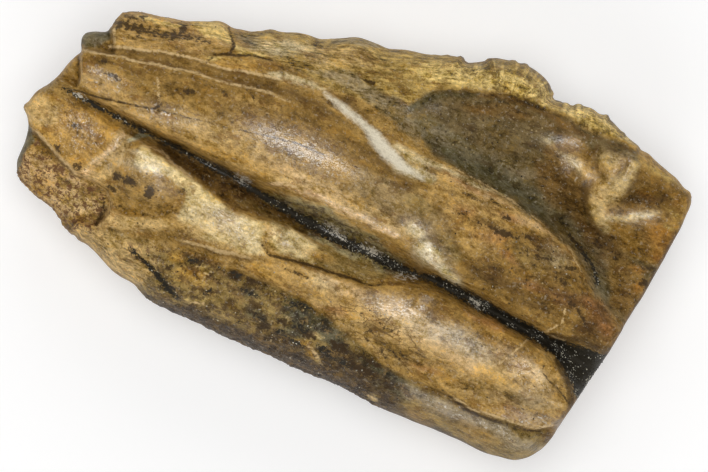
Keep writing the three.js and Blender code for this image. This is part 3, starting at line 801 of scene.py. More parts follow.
        *blots((4.8, 6.4, 1.4, 0.3, 15), (6.4, 6.9, 1, 0.3), (8.8, 6.9, 1.2, 0.25)),
    ]),
    Coat(Pigment.DEEP_BRONZE, 0.85, [Field(0.3, [(13, 2.4), (14.6, 2.7), (15.4, 2.4), (16, 1.2),
        (15.8, 0.1), (14.6, 0.2), (14.2, 1.2)])]),
    Coat(Pigment.UMBER, 0.85, blots((15.2, 0.9, 0.7, 1))),
    Coat(Pigment.HONEY, 0.6, blots((-5.8, 1.6, 1.4, 0.4, 10))),
    Coat(Pigment.ORANGE, 0.6, blots((15.55, 1.6, 0.25, 0.4), (15.2, 2.4, 0.4, 0.2))),
    Coat(Pigment.HONEY, 0.75, [
        Field(0.25, [(4.4, 2.95), (8.5, 2.7), (11.8, 1.9), (12.8, 0.9), (11.6, 0.6), (8.6, 0.8), (5.2, 0.9),
            (3.4, 1.3)]),
        *blots((7.2, 0.4, 1.6, 0.5)),
    ]),
    Coat(Pigment.DEEP_BRONZE, 0.85, [Field(0.6, [(8.4, 1.8), (12.4, 1.6), (15.4, -1), (15.4, -2), (8, -2),
        (6.8, -1.2), (8.4, 0)])]),
    Coat(Pigment.RED_BROWN, 0.75, blots((14.4, -0.9, 1.1, 0.7, -40), (12.4, -0.4, 0.9, 0.4))),
    Coat(Pigment.UMBER, 0.65, blots(
        (9, -0.9, 1.4, 0.4), (12.6, -0.3, 1, 0.4), (14.6, -1.4, 0.9, 0.4), (7, 1.3, 1.2, 0.15),
        (11.4, -1.4, 1.2, 0.2, 10),
    )),
    Coat(Pigment.ROSY, 0.5, blots(
        (6.4, 2.5, 1.6, 0.25), (9.4, 2.2, 1.2, 0.2), (5.6, -4.6, 1.6, 0.5), (9, -5.4, 1.8, 0.4),
        (2.4, -4.7, 1.4, 0.3), (-1, -0.6, 2.6, 0.25), (7.4, -4.9, 2.6, 0.8), (12, -4.4, 1.6, 0.5, -12),
    )),
    Coat(Pigment.RUST, 0.6, blots(
        (8, 0.9, 0.7, 0.25), (6, 1.4, 0.6, 0.3), (9.2, 0.2, 0.7, 0.2), (10.8, -0.6, 0.8, 0.2),
        (9.4, -3.2, 1.2, 0.2), (7.6, -6.6, 0.8, 0.2), (12.4, -6.6, 0.7, 0.15), (2.2, -5.9, 0.8, 0.2),
        (-2.2, -5.7, 0.5, 0.15), (7.6, 0.6, 0.9, 0.3), (8.2, 2.1, 0.7, 0.15), (10.4, 1.6, 0.8, 0.2),
        (13.6, -0.2, 0.6, 0.3), (14.8, -1, 0.5, 0.3), (5.6, 2.6, 0.8, 0.12),
    )),
    Coat(Pigment.TAUPE, 0.5, blots(
        (3, 4.2, 1.3, 0.45), (13.2, 2, 1, 0.35, -30), (11.1, 1.2, 0.9, 0.4, -15),
    )),
    # the swirl in the far corner, with painted shade in its valleys and painted highlights on its folds
    Coat(Pigment.DEEP_BRONZE, 0.9, [Field(0.3, [(8.2, 6), (9.4, 6.9), (12.6, 7.1), (16, 6.9), (16.3, 3),
        (14, 2.9), (12.2, 3.3), (10.6, 4.4), (9, 5.2)])]),
    Coat(Pigment.UMBER, 0.6, blots(
        (13.6, 6, 1.1, 0.25, 5), (13.3, 5, 0.9, 0.35, 45), (13, 3.2, 1.6, 0.25), (10, 4.6, 1.4, 0.5, 10),
        (14.2, 6.6, 1.4, 0.4), (9.8, 5.2, 0.9, 0.3, 25),
    )),
    Coat(Pigment.HONEY, 0.8, blots(
        (11.7, 6.4, 0.9, 0.8), (12.1, 5, 0.8, 1.3), (10.4, 5.9, 1.2, 0.25, -15),
    )),
    # painted shade along the swirl's valleys
    Coat(Pigment.UMBER, 0.8, [
        *streaks([(13, 5.3, 0.15), (13.9, 5.7, 0.22), (15.4, 6.1, 0.15)], [(10.8, 3.9, 0.15),
            (11.6, 3.3, 0.2), (12.6, 2.9, 0.2), (13.9, 2.75, 0.15)], [(8.6, 5, 0.2), (9.8, 4.9, 0.35),
            (10.9, 4.6, 0.3), (11.3, 4, 0.2)]),
    ]),
    # painted highlights: a sheen along the ridge out to the end and on the folds beside the boss
    Coat(Pigment.OATMEAL, 0.6, [
        Streak([(12.6, 4.2, 0.1), (13.5, 4.6, 0.16), (14.5, 4.95, 0.1)]),
        *blots((8.3, 6.25, 0.4, 0.15, 10), (9.9, 5.9, 0.7, 0.2, -15)),
    ]),
    Coat(Pigment.SAND, 0.55, [
        Streak([(12.7, 6.9, 0.3), (12.6, 6.2, 0.5), (12.2, 5.4, 0.6), (11.9, 4.8, 0.5), (12.1, 4.1, 0.35),
            (12.8, 3.5, 0.25)]),
        *blots((11.4, 6.7, 0.5, 0.4)),
    ]),
    Coat(Pigment.ORANGE, 0.7, blots(
        (15.4, 4.3, 0.8, 0.6), (15.7, 3.5, 0.4, 0.4), (14, 5.95, 0.6, 0.14), (15.2, 6.2, 0.5, 0.25),
    )),
    Coat(Pigment.OCHRE, 0.7, blots(
        (15.2, 6.25, 0.25, 0.15), (14.2, 7.2, 1.2, 0.14, -12), (15.6, 5.7, 0.4, 0.12),
        (15.7, 4.9, 0.3, 0.1),
    )),
    # painted shade in the valleys beside the ridge
    Coat(Pigment.UMBER, 0.75, blots((13.7, 5.55, 1.3, 0.28, 18), (10.8, 4.7, 0.5, 0.7, 20))),
    Coat(Pigment.PALE_HONEY, 0.7, blots((11.75, 5.2, 0.45, 0.9, 5))),
    # the flank
    Coat(Pigment.OLIVE, 0.9, [Field(0.25, [(-10, -7.2), (-7.6, -6.6), (-3.5, -6.3), (0, -6.1), (3.4, -6.7),
        (6.5, -7.5), (10.5, -7.6), (14.8, -6.9), (14.6, -9.6), (-10, -9.6)])]),
    Coat(Pigment.PALE_HONEY, 0.75, [
        Field(0.3, [(-11.6, -7.4), (-8.4, -6.9), (-6.9, -7.3), (-6.6, -7.9), (-7.4, -9.1), (-10.8, -8.4)]),
        *blots((-7.2, -6.7, 0.8, 0.25, 25)),
    ]),
    Coat(Pigment.DARK_UMBER, 0.8, [
        Field(0.35, [(2.6, -7.1), (6.8, -7.5), (7.4, -8.3), (6.6, -9.6), (-6, -9.6), (-5, -8.9), (0, -8.4),
            (2.4, -8.2)]),
        *blots((0.6, -8.4, 1.2, 0.4), (-0.6, -8, 0.4, 0.35), (-2.9, -6.35, 0.45, 0.3),
            (-2, -6.3, 0.4, 0.25), (9.4, -7.4, 1.6, 0.14)),
    ]),
    Coat(Pigment.SLATE, 0.9, [
        Field(0.25, [(-0.2, -6.15), (2.2, -6.4), (3.6, -7), (3, -7.5), (0.6, -7.3), (-0.2, -6.9)]),
        *blots((1.5, -6.9, 1.6, 0.5), (5.8, -7.6, 1.6, 0.2, -5), (-1.9, -6.85, 0.5, 0.2),
            (0.9, -7.7, 0.7, 0.3), (-1.2, -7.6, 0.7, 0.3), (6.6, -8.3, 1, 0.2)),
    ]),
    Coat(Pigment.TAUPE, 0.8, [Field(0.25, [(7.2, -7.7), (10, -7.8), (13.6, -7.5), (14.4, -7.8),
        (13.4, -8.4), (9, -8.5), (7, -8.3)])]),
    Coat(Pigment.DARK_UMBER, 0.8, [Streak([(-7, -9.3, 0.2), (-2, -9.1, 0.35), (2, -9, 0.4), (8, -9.1, 0.25),
        (12, -9.2, 0.15)])]),
    Coat(Pigment.BRONZE, 0.7, blots((11.2, -8.5, 1.3, 0.35), (8.4, -8.8, 1, 0.3))),
    Coat(Pigment.BRIGHT_AMBER, 0.85, blots(
        (-4.9, -7.3, 0.9, 0.45), (2.1, -8.2, 0.5, 0.14, -38), (-2, -5.6, 0.6, 0.25), (1.6, -8, 0.4, 0.12),
        (-6, -6.7, 0.5, 0.2),
    )),
    Coat(Pigment.STRAW, 0.8, [
        *streaks([(2.2, -8.1, 0.05), (2.7, -8.55, 0.05)], [(-4.9, -6.75, 0.05), (-4, -7, 0.08)],
            [(-4.6, -8.5, 0.06), (-3.9, -8.2, 0.06), (-3.5, -8, 0.04)]),
        *blots((0.3, -7.3, 0.15, 0.2), (2, -7.3, 0.2, 0.08), (5.8, -9, 0.3, 0.1)),
    ]),
    # the walls at the two ends, with painted shade on their steep faces and in the recess at the root end
    # painted shade, blue-grey, on the steep faces at the root end
    Coat(Pigment.SLATE, 0.85, [
        Field(0.12, [(-15.9, -3.6), (-15.4, -4), (-15.05, -4.6), (-15, -5.4), (-15.05, -6.5), (-15.6, -6)]),
        Field(0.15, [(-15.1, 0.6), (-14.5, 0.8), (-13.6, 1.4), (-13.8, 2.1), (-15.1, 1.8)]),
    ]),
    Coat(Pigment.TAUPE, 0.5, blots((-14.3, 1.1, 0.5, 0.25), (-15.4, -1.6, 0.4, 0.35, 45))),
    # painted shade in the recess at the root end
    Coat(Pigment.BRONZE, 0.8, [Field(0.15, [(-15.1, -1), (-14.2, -1.1), (-14.3, -0.3), (-14.8, 0.3)])]),
    # painted shade along the cutting end's edge and the broken end of the main lobe
    Coat(Pigment.UMBER, 0.8, [
        *streaks([(16.1, 5, 0.12), (15.9, 1, 0.12), (15.5, -2, 0.15), (14.95, -5.5, 0.2),
            (14.6, -7.2, 0.25)], [(-14.2, -1, 0.06), (-14.4, -0.3, 0.06), (-14.7, 0.4, 0.05)]),
    ]),
    Coat(Pigment.ROSY, 0.85, [Streak([(-3.6, -1.5, 0.05), (-2.2, -1.07, 0.16), (-0.5, -1.07, 0.14),
        (1.6, -1.2, 0.14), (3.5, -1.35, 0.1)])]),
    Coat(Pigment.ROSY, 0.6, [Streak([(-11.95, -4.9, 0.18), (-11.45, -3.7, 0.14), (-11, -2.3, 0.12)])]),
    Coat(Pigment.TAUPE, 0.6, blots((8.3, -4.7, 2.2, 0.7), (13, -5.8, 1.5, 0.5, 15))),
    Coat(Pigment.OLIVE, 0.5, blots((9.8, 0.6, 1, 0.5, -10), (10.4, 1.6, 0.8, 0.25))),
    Coat(Pigment.AMBER, 0.55, blots((6.6, 0.9, 1.1, 0.5, -15), (12.4, 1.2, 0.5, 0.2, -30))),
    # the streak is a painted highlight along the ridge out to the end; the blot is a paler patch
    Coat(Pigment.OATMEAL, 0.3, [
        Streak([(12.5, 4.1, 0.15), (13.5, 4.5, 0.3), (14.9, 5.3, 0.15)]), *blots((11.2, 1.2, 0.8, 0.4)),
    ]),
    Coat(Pigment.HONEY, 0.35, blots((-4.8, -4.4, 1.3, 0.6, -10))),
    Coat(Pigment.DARK_UMBER, 0.35, blots((9.6, -1.3, 2.2, 0.35, -3), (14.2, -1.4, 1, 0.4))),
    # painted highlights on the two pillows below the main lobe
    Coat(Pigment.PAINTED_HIGHLIGHT, 0.65, blots((6.5, -1.88, 0.8, 0.24, -15), (5.3, -1.35, 0.6, 0.35, -20))),
    Coat(Pigment.DARK_UMBER, 0.4, [Field(0.3, [(-3.4, -2.2), (-2.4, -1.75), (-1, -1.5), (1, -1.6),
        (2.6, -1.85), (4.4, -2.3)])]),
    Coat(Pigment.UMBER, 0.35, blots((9.8, -8.2, 2.4, 0.3), (0.5, 1.9, 1.2, 0.25, -12))),
    Coat(Pigment.BLACK, 0.45, blots((1.5, -6.8, 1.6, 0.4, -8), (3.4, -7.4, 0.8, 0.25, -15))),
    # painted shade along the valley by the boss and at the ridge's foot
    Coat(Pigment.DARK_UMBER, 0.6, [
        *streaks([(12.95, 5.3, 0.1), (13.4, 5.65, 0.25), (14.2, 5.95, 0.25), (15.2, 6.15, 0.12)],
            [(10.9, 5.4, 0.1), (10.9, 4.8, 0.2), (11.3, 4.1, 0.2), (12.1, 3.4, 0.15), (13.4, 3.05, 0.12)]),
    ]),
    Coat(Pigment.SLATE, 0.6, [
        *streaks([(1.4, 5, 0.12), (2, 5.9, 0.18), (2.9, 6.45, 0.16), (4.2, 6.9, 0.12)], [(4, 3.6, 0.2),
            (7, 3.6, 0.35), (9.6, 3, 0.2)]),
    ]),
    Coat(Pigment.DARK_UMBER, 0.8, [
        *streaks([(12.6, -2.3, 0.15), (14, -2.1, 0.22), (15.6, -2, 0.3)], [(13.4, -3.5, 0.12),
            (14.6, -4.4, 0.18), (15, -5.2, 0.2)]),
    ]),
    # cream stripe, plug, thin pale edges and painted highlights on the pillows
    Coat(Pigment.OATMEAL, 0.75, [
        *streaks([(-5.6, 3.4, 0.15), (-4.8, 3.7, 0.15), (-3.6, 3.85, 0.18), (-2.9, 3.85, 0.1)],
            [(1.6, 2.9, 0.2), (3.2, 2.7, 0.22), (4.6, 2.75, 0.12), (7.6, 2.95, 0.06)], [(2, 2.15, 0.4),
            (2.9, 2.1, 0.38), (3.9, 2.1, 0.2)]),
        # the first three blots are painted highlights on the pillows below the main lobe
        *blots((5.3, -1.3, 0.9, 0.5, -20), (6.7, -1.85, 0.8, 0.25, -15), (4.2, -0.6, 0.5, 0.4),
            (-5.6, 4.95, 1.4, 0.35, 20)),
    ]),
    Coat(Pigment.PALE_SLATE, 0.9, [Streak([(-10.6, -2.4, 0.12), (-10.3, -2.2, 0.12),
        (-9.9, -1.95, 0.08)])]),
]

# edges that stand proud, painted pale as highlights, and which way the painted shadow at the foot of each
# one lies
LEDGES = [
    (Streak([(-14.6, 0.6, 0.046), (-13, 1, 0.046), (-11, 1.45, 0.041), (-9, 1.93, 0.041), (-7, 2.23, 0.041),
        (-5.3, 2.58, 0.041), (-4.2, 2.64, 0.026)]), (0, 0.1)),
    (Streak([(-13.5, 1.3, 0.056), (-12, 1.85, 0.056), (-10.4, 2.35, 0.046), (-9.2, 2.6, 0.056),
        (-8, 2.75, 0.046), (-6.4, 3.15, 0.056), (-5.2, 3.4, 0.046)]), (0.02, -0.13)),
    (Streak([(-15, -4.05, 0.056), (-13.6, -4.62, 0.066), (-12.35, -5.18, 0.056)]), (-0.04, -0.12)),
    (Streak([(-9, -2.25, 0.036), (-8.2, -2.62, 0.056), (-7, -2.9, 0.046)]), (0, 0.1)),
    (Streak([(-6.2, -5.95, 0.036), (-5.2, -5.72, 0.056), (-4.3, -5.65, 0.066), (-3.5, -5.4, 0.056),
        (-2.6, -5.25, 0.036)]), (0.02, -0.12)),
    (Streak([(9.5, -7.3, 0.046), (10.6, -7.42, 0.046), (12.5, -7.2, 0.046), (14, -6.85, 0.066),
        (14.5, -6.5, 0.046)]), (0.03, -0.13)),
]
SHADOW_WIDENING = 0.02

# the row of dark blocks in the splinter, as x, y and half the height of each
BLOCK_HALF_WIDTH, BLOCK_TURN = 0.13, 12
BLOCKS = [
    (-13.5, 2.5, 0.25), (-13.15, 2.65, 0.3), (-12.8, 2.72, 0.22), (-12.45, 2.75, 0.32),
    (-12.1, 2.85, 0.2), (-11.7, 2.9, 0.26), (-11.2, 3.0, 0.14), (-10.85, 3.15, 0.26),
    (-10.5, 3.3, 0.2), (-10.1, 3.42, 0.12), (-9.6, 3.6, 0.1),
]

# narrow marks, whose edges stay sharp
LINES = {
    # along the ledges and on the pink ridge these are painted highlights; the other short marks are pale
    # mineral
    Mask.EDGE: [edge for edge, _ in LEDGES] + [
        *streaks([(-13.65, 2.2, 0.05), (-13.35, 1.6, 0.05)], [(4.6, 3.05, 0), (6.6, 3, 0.02),
            (8.4, 2.75, 0.02), (9.6, 2.45, 0)], [(10.8, 2.25, 0), (11.8, 1.75, 0.02), (12.6, 1.1, 0.02)],
            [(-10, -2.5, 0), (-9.4, -2.3, 0.02), (-8.8, -2.35, 0.02)], [(-3.2, -1.4, 0.02),
            (-2.4, -1.12, 0.04), (-1.8, -1, 0.02)], [(1, -1.14, 0.02), (2.2, -1.22, 0.03),
            (3.2, -1.3, 0.02)], [(1.7, -7.95, 0.04), (2.3, -8.2, 0.08), (2.8, -8.6, 0.05)],
            [(-4.9, -6.8, 0.03), (-4.2, -6.95, 0.05)], [(-3.6, -8.2, 0.03), (-4.2, -8.5, 0.04),
            (-4.7, -8.6, 0.03)], [(0.2, -7.2, 0.04), (0.4, -7.5, 0.05)], [(1.8, -7.35, 0.04),
            (2.1, -7.3, 0.05)], [(5.6, -9, 0.05), (6.1, -9.05, 0.03)], [(-10.55, -5.3, 0.04),
            (-10, -5.82, 0.045)], [(-10.7, -2.9, 0.04), (-10.5, -3.6, 0.04), (-10.6, -4, 0.03)],
            [(-10, -0.15, 0.03), (-10.3, 0.4, 0.03), (-10.6, 0.9, 0.03)], [(12.4, -2.45, 0.035),
            (13.3, -2.34, 0.035)], [(12.65, -0.9, 0.02), (12.8, -1.6, 0.02), (12.2, -2.4, 0.02)],
            [(11.6, -3.1, 0.02), (11.3, -3.8, 0.02), (10.9, -4.6, 0.02), (10.5, -5.1, 0.02)]),
    ],
    # painted shadow beside each ledge, and along creases, valleys and the groove under the rim
    Mask.FOOT: [edge.moved(*foot, SHADOW_WIDENING) for edge, foot in LEDGES] + [
        *streaks([(4.6, 1.1, 0.04), (5.3, 0.6, 0.05), (6.2, -0.2, 0.05), (7.2, -0.95, 0.05),
            (8.6, -1.2, 0.05), (10.5, -1.1, 0.04), (11.5, -1, 0.03)], [(11.15, 5.6, 0.04),
            (11.1, 4.9, 0.08), (11.6, 4, 0.08), (12.4, 3.3, 0.06), (13.6, 3, 0.04)], [(10.7, 7.3, 0.05),
            (10.75, 6.7, 0.08), (11.1, 6.1, 0.07), (11.7, 5.8, 0.05)], [(12.3, 7.3, 0.05),
            (12.4, 6.8, 0.07), (12.3, 6.2, 0.05)], [(13, 7.1, 0.05), (13.15, 6.3, 0.09),
            (12.95, 5.5, 0.06)], [(-2.7, 3.95, 0.05), (-1.5, 3.8, 0.05), (-0.3, 3.55, 0.04)],
            [(0.2, 2.35, 0.05), (0.9, 1.85, 0.06), (2, 1.55, 0.06), (3.4, 1.45, 0.05)], [(-6, 2.75, 0.08),
            (-4.5, 3, 0.1), (-3, 3.1, 0.08), (-1.6, 2.9, 0.08), (-0.5, 2.6, 0.05)], [(7.4, 7.35, 0.05),
            (9, 7.2, 0.06), (10.6, 7.5, 0.05), (12.4, 7.65, 0.05)]),
    ],
    Mask.SOOT: [
        *streaks([(-14.7, -1.55, 0.07), (-13.9, -1.6, 0.13), (-12, -1.7, 0.11), (-10.9, -1.75, 0.12),
            (-9.8, -1.82, 0.1), (-7, -1.92, 0.14), (-4.8, -2.02, 0.16), (-2.5, -2.28, 0.2),
            (-1, -2.42, 0.26), (1, -2.5, 0.28), (2.6, -2.55, 0.28), (3.7, -2.6, 0.26), (4.6, -2.6, 0.2),
            (5.4, -2.5, 0.14), (6, -2.38, 0.2), (7, -2.42, 0.27), (8, -2.45, 0.28), (10, -2.62, 0.3),
            (12, -2.75, 0.3), (13, -2.9, 0.35)], [(-8.3, -7.38, 0.08), (-6.7, -7.9, 0.14),
            (-6, -8.25, 0.16), (-5.1, -8.65, 0.12)], [(11.3, 2.45, 0.05), (12.2, 2.05, 0.1),
            (13, 1.6, 0.08), (13.6, 0.9, 0.12)]),
        Field(0.14, [(12.4, -2.6), (13.3, -2.4), (15.9, -2.15), (15.6, -4.9), (15, -4.7), (14.6, -4.25),
            (14, -3.8), (13.2, -3.25)]),
        *blots((1.1, -7.35, 0.5, 0.13, -8), (0.3, -7.95, 0.3, 0.13), (-2, -6.85, 0.35, 0.1),
            (2.6, -7.85, 0.45, 0.13, -10), (-0.9, -7.7, 0.2, 0.09), (3.4, -8.05, 0.6, 0.1),
            (-5.2, -6.6, 0.25, 0.09), (-3.9, -7.6, 0.12, 0.2), (0.5, -6.4, 0.5, 0.1, 10),
            (-2.9, -6.35, 0.22, 0.12), (1.2, -8.15, 0.3, 0.1)),
    ],
    Mask.STAIN: [
        *streaks([(4.1, -5.3, 0.02), (4.9, -5.6, 0.04), (5.6, -5.5, 0.03)], [(6.6, -6, 0.03),
            (7.4, -6.15, 0.03)], [(4.3, -6, 0.02), (5.2, -6.3, 0.05), (6.2, -6.7, 0.03)],
            [(5.1, -6.6, 0.05), (5.7, -7, 0.04)], [(-0.8, -5, 0.03), (0.4, -4.95, 0.02)],
            [(3.6, -5.4, 0.03), (4.4, -6.5, 0.03)], [(9.6, 1, 0.03), (9.8, 0.7, 0.04)], [(-13.7, 2.6, 0.1),
            (-12.5, 2.75, 0.1), (-11.5, 2.85, 0.08), (-10.6, 3.15, 0.08), (-9.9, 3.45, 0.06),
            (-9, 3.65, 0.04)], [(-13.5, 3.05, 0.05), (-13.1, 3.1, 0.05), (-12.5, 3.4, 0.06)],
            # painted shadow at the foot of the step up from the granular break
            [(-10.55, -5.7, 0.06), (-10.35, -6.4, 0.12), (-10.4, -7, 0.08)]),
        *blots(*[(x, y, BLOCK_HALF_WIDTH, half, BLOCK_TURN) for x, y, half in BLOCKS]),
        *blots((7.2, 2.4, 0.3, 0.08), (8.1, 2, 0.25, 0.12), (12, 1, 0.3, 0.08, 20), (10.2, 1.2, 0.14, 0.1),
            (13.6, -1, 0.4, 0.1, -40), (8.6, -0.6, 0.4, 0.06), (8.3, 1.2, 0.55, 0.2, 5),
            (6.9, 1.15, 0.7, 0.05), (10.5, 0.9, 0.5, 0.1, 15), (9.4, 1.5, 0.3, 0.1),
            (11.9, 0.3, 0.35, 0.12, -20), (12.9, -0.6, 0.3, 0.1, -30), (6, 2.2, 0.25, 0.06),
            (-6, 2.1, 0.2, 0.06, -30), (-10.55, 3.6, 0.18, 0.25), (0.2, -7.4, 0.3, 0.2),
            (1.6, -7.5, 0.5, 0.2), (3.2, -7.4, 0.7, 0.2, -10), (-2.95, -6.35, 0.35, 0.2),
            (-2.1, -6.3, 0.3, 0.14), (-2, -6.85, 0.35, 0.12), (-1.2, -7.7, 0.4, 0.12),
            (-3.8, -7.6, 0.3, 0.12, 30), (-0.6, -8.1, 0.3, 0.2), (4.6, -8, 0.7, 0.2),
            (6.2, -8.2, 0.6, 0.16), (5, -7.4, 0.8, 0.1), (-6.2, -7.4, 0.3, 0.1, 20),
            (-10.45, -4.35, 0.22, 0.2), (-9.75, -4.35, 0.35, 0.2), (-8.65, -4.4, 0.26, 0.34),
            (-10.45, -5, 0.25, 0.12), (15.6, 2.65, 0.35, 0.12), (15.65, 1.9, 0.2, 0.2),
            (-13.35, -3.02, 0.25, 0.14), (-13.7, -4.35, 0.22, 0.12, -40), (-12.4, -4.78, 0.28, 0.16, 10),
            (-13.35, 0.52, 0.14, 0.12), (-12.7, 0.02, 0.35, 0.16), (-8.95, 1, 0.2, 0.14),
            (8.4, 1.15, 0.6, 0.08, 5), (-7.3, 1.65, 0.2, 0.07, -35), (-5, -6.55, 0.35, 0.14),
            (-7.2, -3.7, 0.16, 0.1, 40)),
    ],
    # painted highlights: small glints in the seam and on its edges
    Mask.GLINT: [
        *streaks([(2.3, -2.35, 0.03), (2.8, -2.45, 0.14), (3.2, -2.35, 0.03)], [(0.1, -2.15, 0.03),
            (0.6, -2.3, 0.09), (1.2, -2.4, 0.03)], [(-5, -1.78, 0.04), (-4.7, -1.85, 0.11),
            (-4.3, -1.88, 0.03)], [(-14.1, -1.5, 0.01), (-13.8, -1.55, 0.03), (-13.5, -1.58, 0.01)],
            [(4.4, -3, 0.04), (4.8, -2.9, 0.05), (5.2, -2.7, 0.02)], [(8.2, -2.5, 0.02), (8.7, -2.6, 0.04)]),
    ],
    Mask.CREAM: [
        Streak([(-2.8, 3.75, 0.05), (-1.5, 3.42, 0.17), (-0.3, 3.15, 0.15), (0.5, 2.8, 0.32),
            (1.3, 2.38, 0.34), (2.1, 2.12, 0.28), (2.9, 2, 0.14), (3.5, 1.95, 0.04)]),
    ],
    Mask.CRACK: [
        *streaks([(-14.2, -1.38, 0.05), (-12, -1.02, 0.05), (-10.2, -0.6, 0.05), (-10, -0.35, 0.08)],
            [(-10, -0.6, 0.04), (-9, -0.35, 0.03), (-7, 0.05, 0.03), (-5, 0.47, 0.045), (-3, 0.88, 0.045),
            (-1, 1, 0.03), (0.6, 1.1, 0.02)], [(-8.5, 4.7, 0.04), (-8.15, 4.3, 0.05), (-7.9, 3.95, 0.08),
            (-7.92, 3.55, 0.05), (-8.5, 3.2, 0.04), (-8.8, 2.55, 0.04)], [(-8.7, 3.12, 0.04),
            (-7.6, 3.6, 0.06), (-6.9, 3.95, 0.06), (-5.8, 4.12, 0.03)], [(-2.4, -4.4, 0.04),
            (-1.8, -4.72, 0.05), (0, -4.36, 0.06), (2, -4.12, 0.06), (3.2, -4, 0.05), (4, -3.6, 0.03)],
            [(12.9, -4.25, 0.03), (14, -4.7, 0.04), (14.8, -5.1, 0.05)], [(12, -4.75, 0),
            (13.2, -5.2, 0.02), (14.4, -5.85, 0)], [(11.8, -4.3, 0), (12.6, -4.55, 0.015),
            (13.6, -5.05, 0)], [(7.6, -5.7, 0), (8.6, -5.85, 0.02), (9.6, -5.8, 0)], [(5, -5, 0),
            (5.9, -5.15, 0.02), (6.6, -5.1, 0)], [(-6.6, -4.2, 0), (-6.3, -4.9, 0.015), (-6.5, -5.3, 0)],
            [(8.9, -1.15, 0), (10.2, -1.4, 0.02), (11.6, -1.2, 0)], [(11.6, -5.9, 0.04), (13, -6.4, 0.03)],
            [(11.3, 2.45, 0.05), (12.2, 2.05, 0.05)], [(-1.3, 5.2, 0.05), (-0.8, 5.25, 0.08)],
            [(8.8, -7.2, 0.05), (10.4, -7.6, 0.08), (12.5, -7.45, 0.06), (14.2, -7, 0.05)]),
    ],
}

# broad areas in which the mineral has a grain, a gloss or a relief of its own
MASKS = {
    Mask.MOTTLE: [
        Field(0.2, [(-3.2, -2.1), (-2.4, -1.7), (-1, -1.45), (2, -1.65), (3.4, -2), (4.6, -2.3), (6, -2.1),
            (4.4, -3.1), (1, -3), (-1, -2.9), (-3, -2.5)]),
        Field(0.3, [(-9.2, -2.1), (-4, -2.2), (-4.4, -3.2), (-8, -2.6)]),
        Field(0.25, [(-9, -7.3), (-7.6, -6.7), (-5.6, -6.2), (-3, -6.15), (0, -6.1), (2.4, -6.3),
            (3.4, -6.9), (6.5, -7.5), (8, -8.2), (6, -9.6), (-7, -9.6), (-6.6, -8.4)]),
        *blots((9.4, 0.6, 4.6, 1.9, -10, 0.45), (0.8, -5.4, 4.4, 0.6, 6, 0.4), (5.8, 5.4, 3.6, 1.7, 0, 0.3),
            (8.4, -6.2, 4.4, 0.6, -3, 0.4), (-13, 3.2, 4.4, 0.7, 20, 0.2)),
    ],
    Mask.CRAZE: [
        Field(0.5, [(3.6, -4.9), (6.6, -5.2), (6.8, -7), (3.4, -6.8), (1.4, -5.9)]),
    ],
    Mask.GRANULAR: [
        Field(0.15, [(-15, -4.3), (-12.4, -5.3), (-10.2, -5.4), (-10.2, -7.4), (-11.4, -7.9),
            (-15.1, -6.6)]),
    ],
    Mask.FIBRE: [
        Field(0.4, [(-8, 4.1), (-3, 4), (0.6, 4), (2.4, 6.5), (3.4, 7.2), (3.2, 8.6), (-8, 5.6)]),
        Field(0.3, [(-13.7, 3), (-8, 4.8), (-8, 4), (-13, 1.8)]),
        Field(0.4, [(-11.6, -7.4), (-7, -7.3), (-6.2, -9.4), (-11, -9)]),
    ],
    Mask.SPECK: [
        Field(0.6, [(-15, -3.9), (-12, -5), (3.6, -6.2), (3.6, -9), (-10, -9), (-15, -7)]),
        Field(0.6, [(6, -5), (15, -4), (16, 2), (9, 2.2), (5, 1.5), (8, -1.6)]),
        Field(0.6, [(1.6, 4.6), (4.6, 6.9), (9, 7.2), (11, 4.4), (9, 3), (4, 3.4)]),
        *blots((-9, -4.5, 2, 1.2)),
    ],
    Mask.GLOSS: blots(
        (-2.7, 0.55, 2.9, 1.05, 4), (-12.9, -0.4, 1.3, 0.5), (-9.3, -0.6, 2, 0.5, 10),
        (4.2, -0.5, 0.8, 0.6), (5.3, -1.4, 1, 0.7, -20), (6.9, -1.9, 0.8, 0.35, -15),
        (1.5, -1.2, 3.4, 0.3), (-8.9, -3.5, 1.7, 0.8, -8, 0.85), (-12.8, -3.4, 1.4, 0.9, -15),
        (-4.7, -1.85, 0.5, 0.25), (0.5, -2.25, 0.7, 0.2), (2.6, -2.4, 0.6, 0.25),
        (8.3, -4.6, 2.4, 0.7, 0, 0.45), (4.8, -4.4, 1.6, 0.6, 10), (6.1, -3.75, 0.4, 0.5),
        (12.6, -4.8, 1.6, 0.8, -20, 0.6), (-4.8, -4.3, 2, 0.7), (-1.2, -3.6, 1, 0.4),
        (9, 6.5, 1.2, 0.4, 20, 0.6), (10.2, 5.6, 1.2, 0.5, -10, 0.7), (12, 6.4, 0.9, 0.9, 0, 0.6),
        (13.6, 4.6, 1.6, 0.5, 20, 0.6), (1.6, 4.9, 1.2, 0.3, 30, 0.3), (13.4, -6.6, 1.6, 0.4, 15),
        (10.4, -7.9, 3.4, 0.3), (-11.2, -3.2, 0.4, 1, 10), (-5.4, -1.9, 1.4, 0.12),
    ),
}

@dataclass(frozen=True)
class RimStation:
    """The rim's shape at one place round the outline.

    Attributes:
        around: Sides counted from the root end: 0 to 1 lower flank, 1 to 2 cutting end, 2 to 3
            margin back to the root end, 3 to 4 root end.
        fall: How far the face falls at the outline.
        reach: How far inside the outline it starts to fall.
        tuck: How far the wall draws in on its way to the base.
        square: 2 for a round wall, and more for an upright one.
    """

    around: float
    fall: float
    reach: float
    tuck: float
    square: float


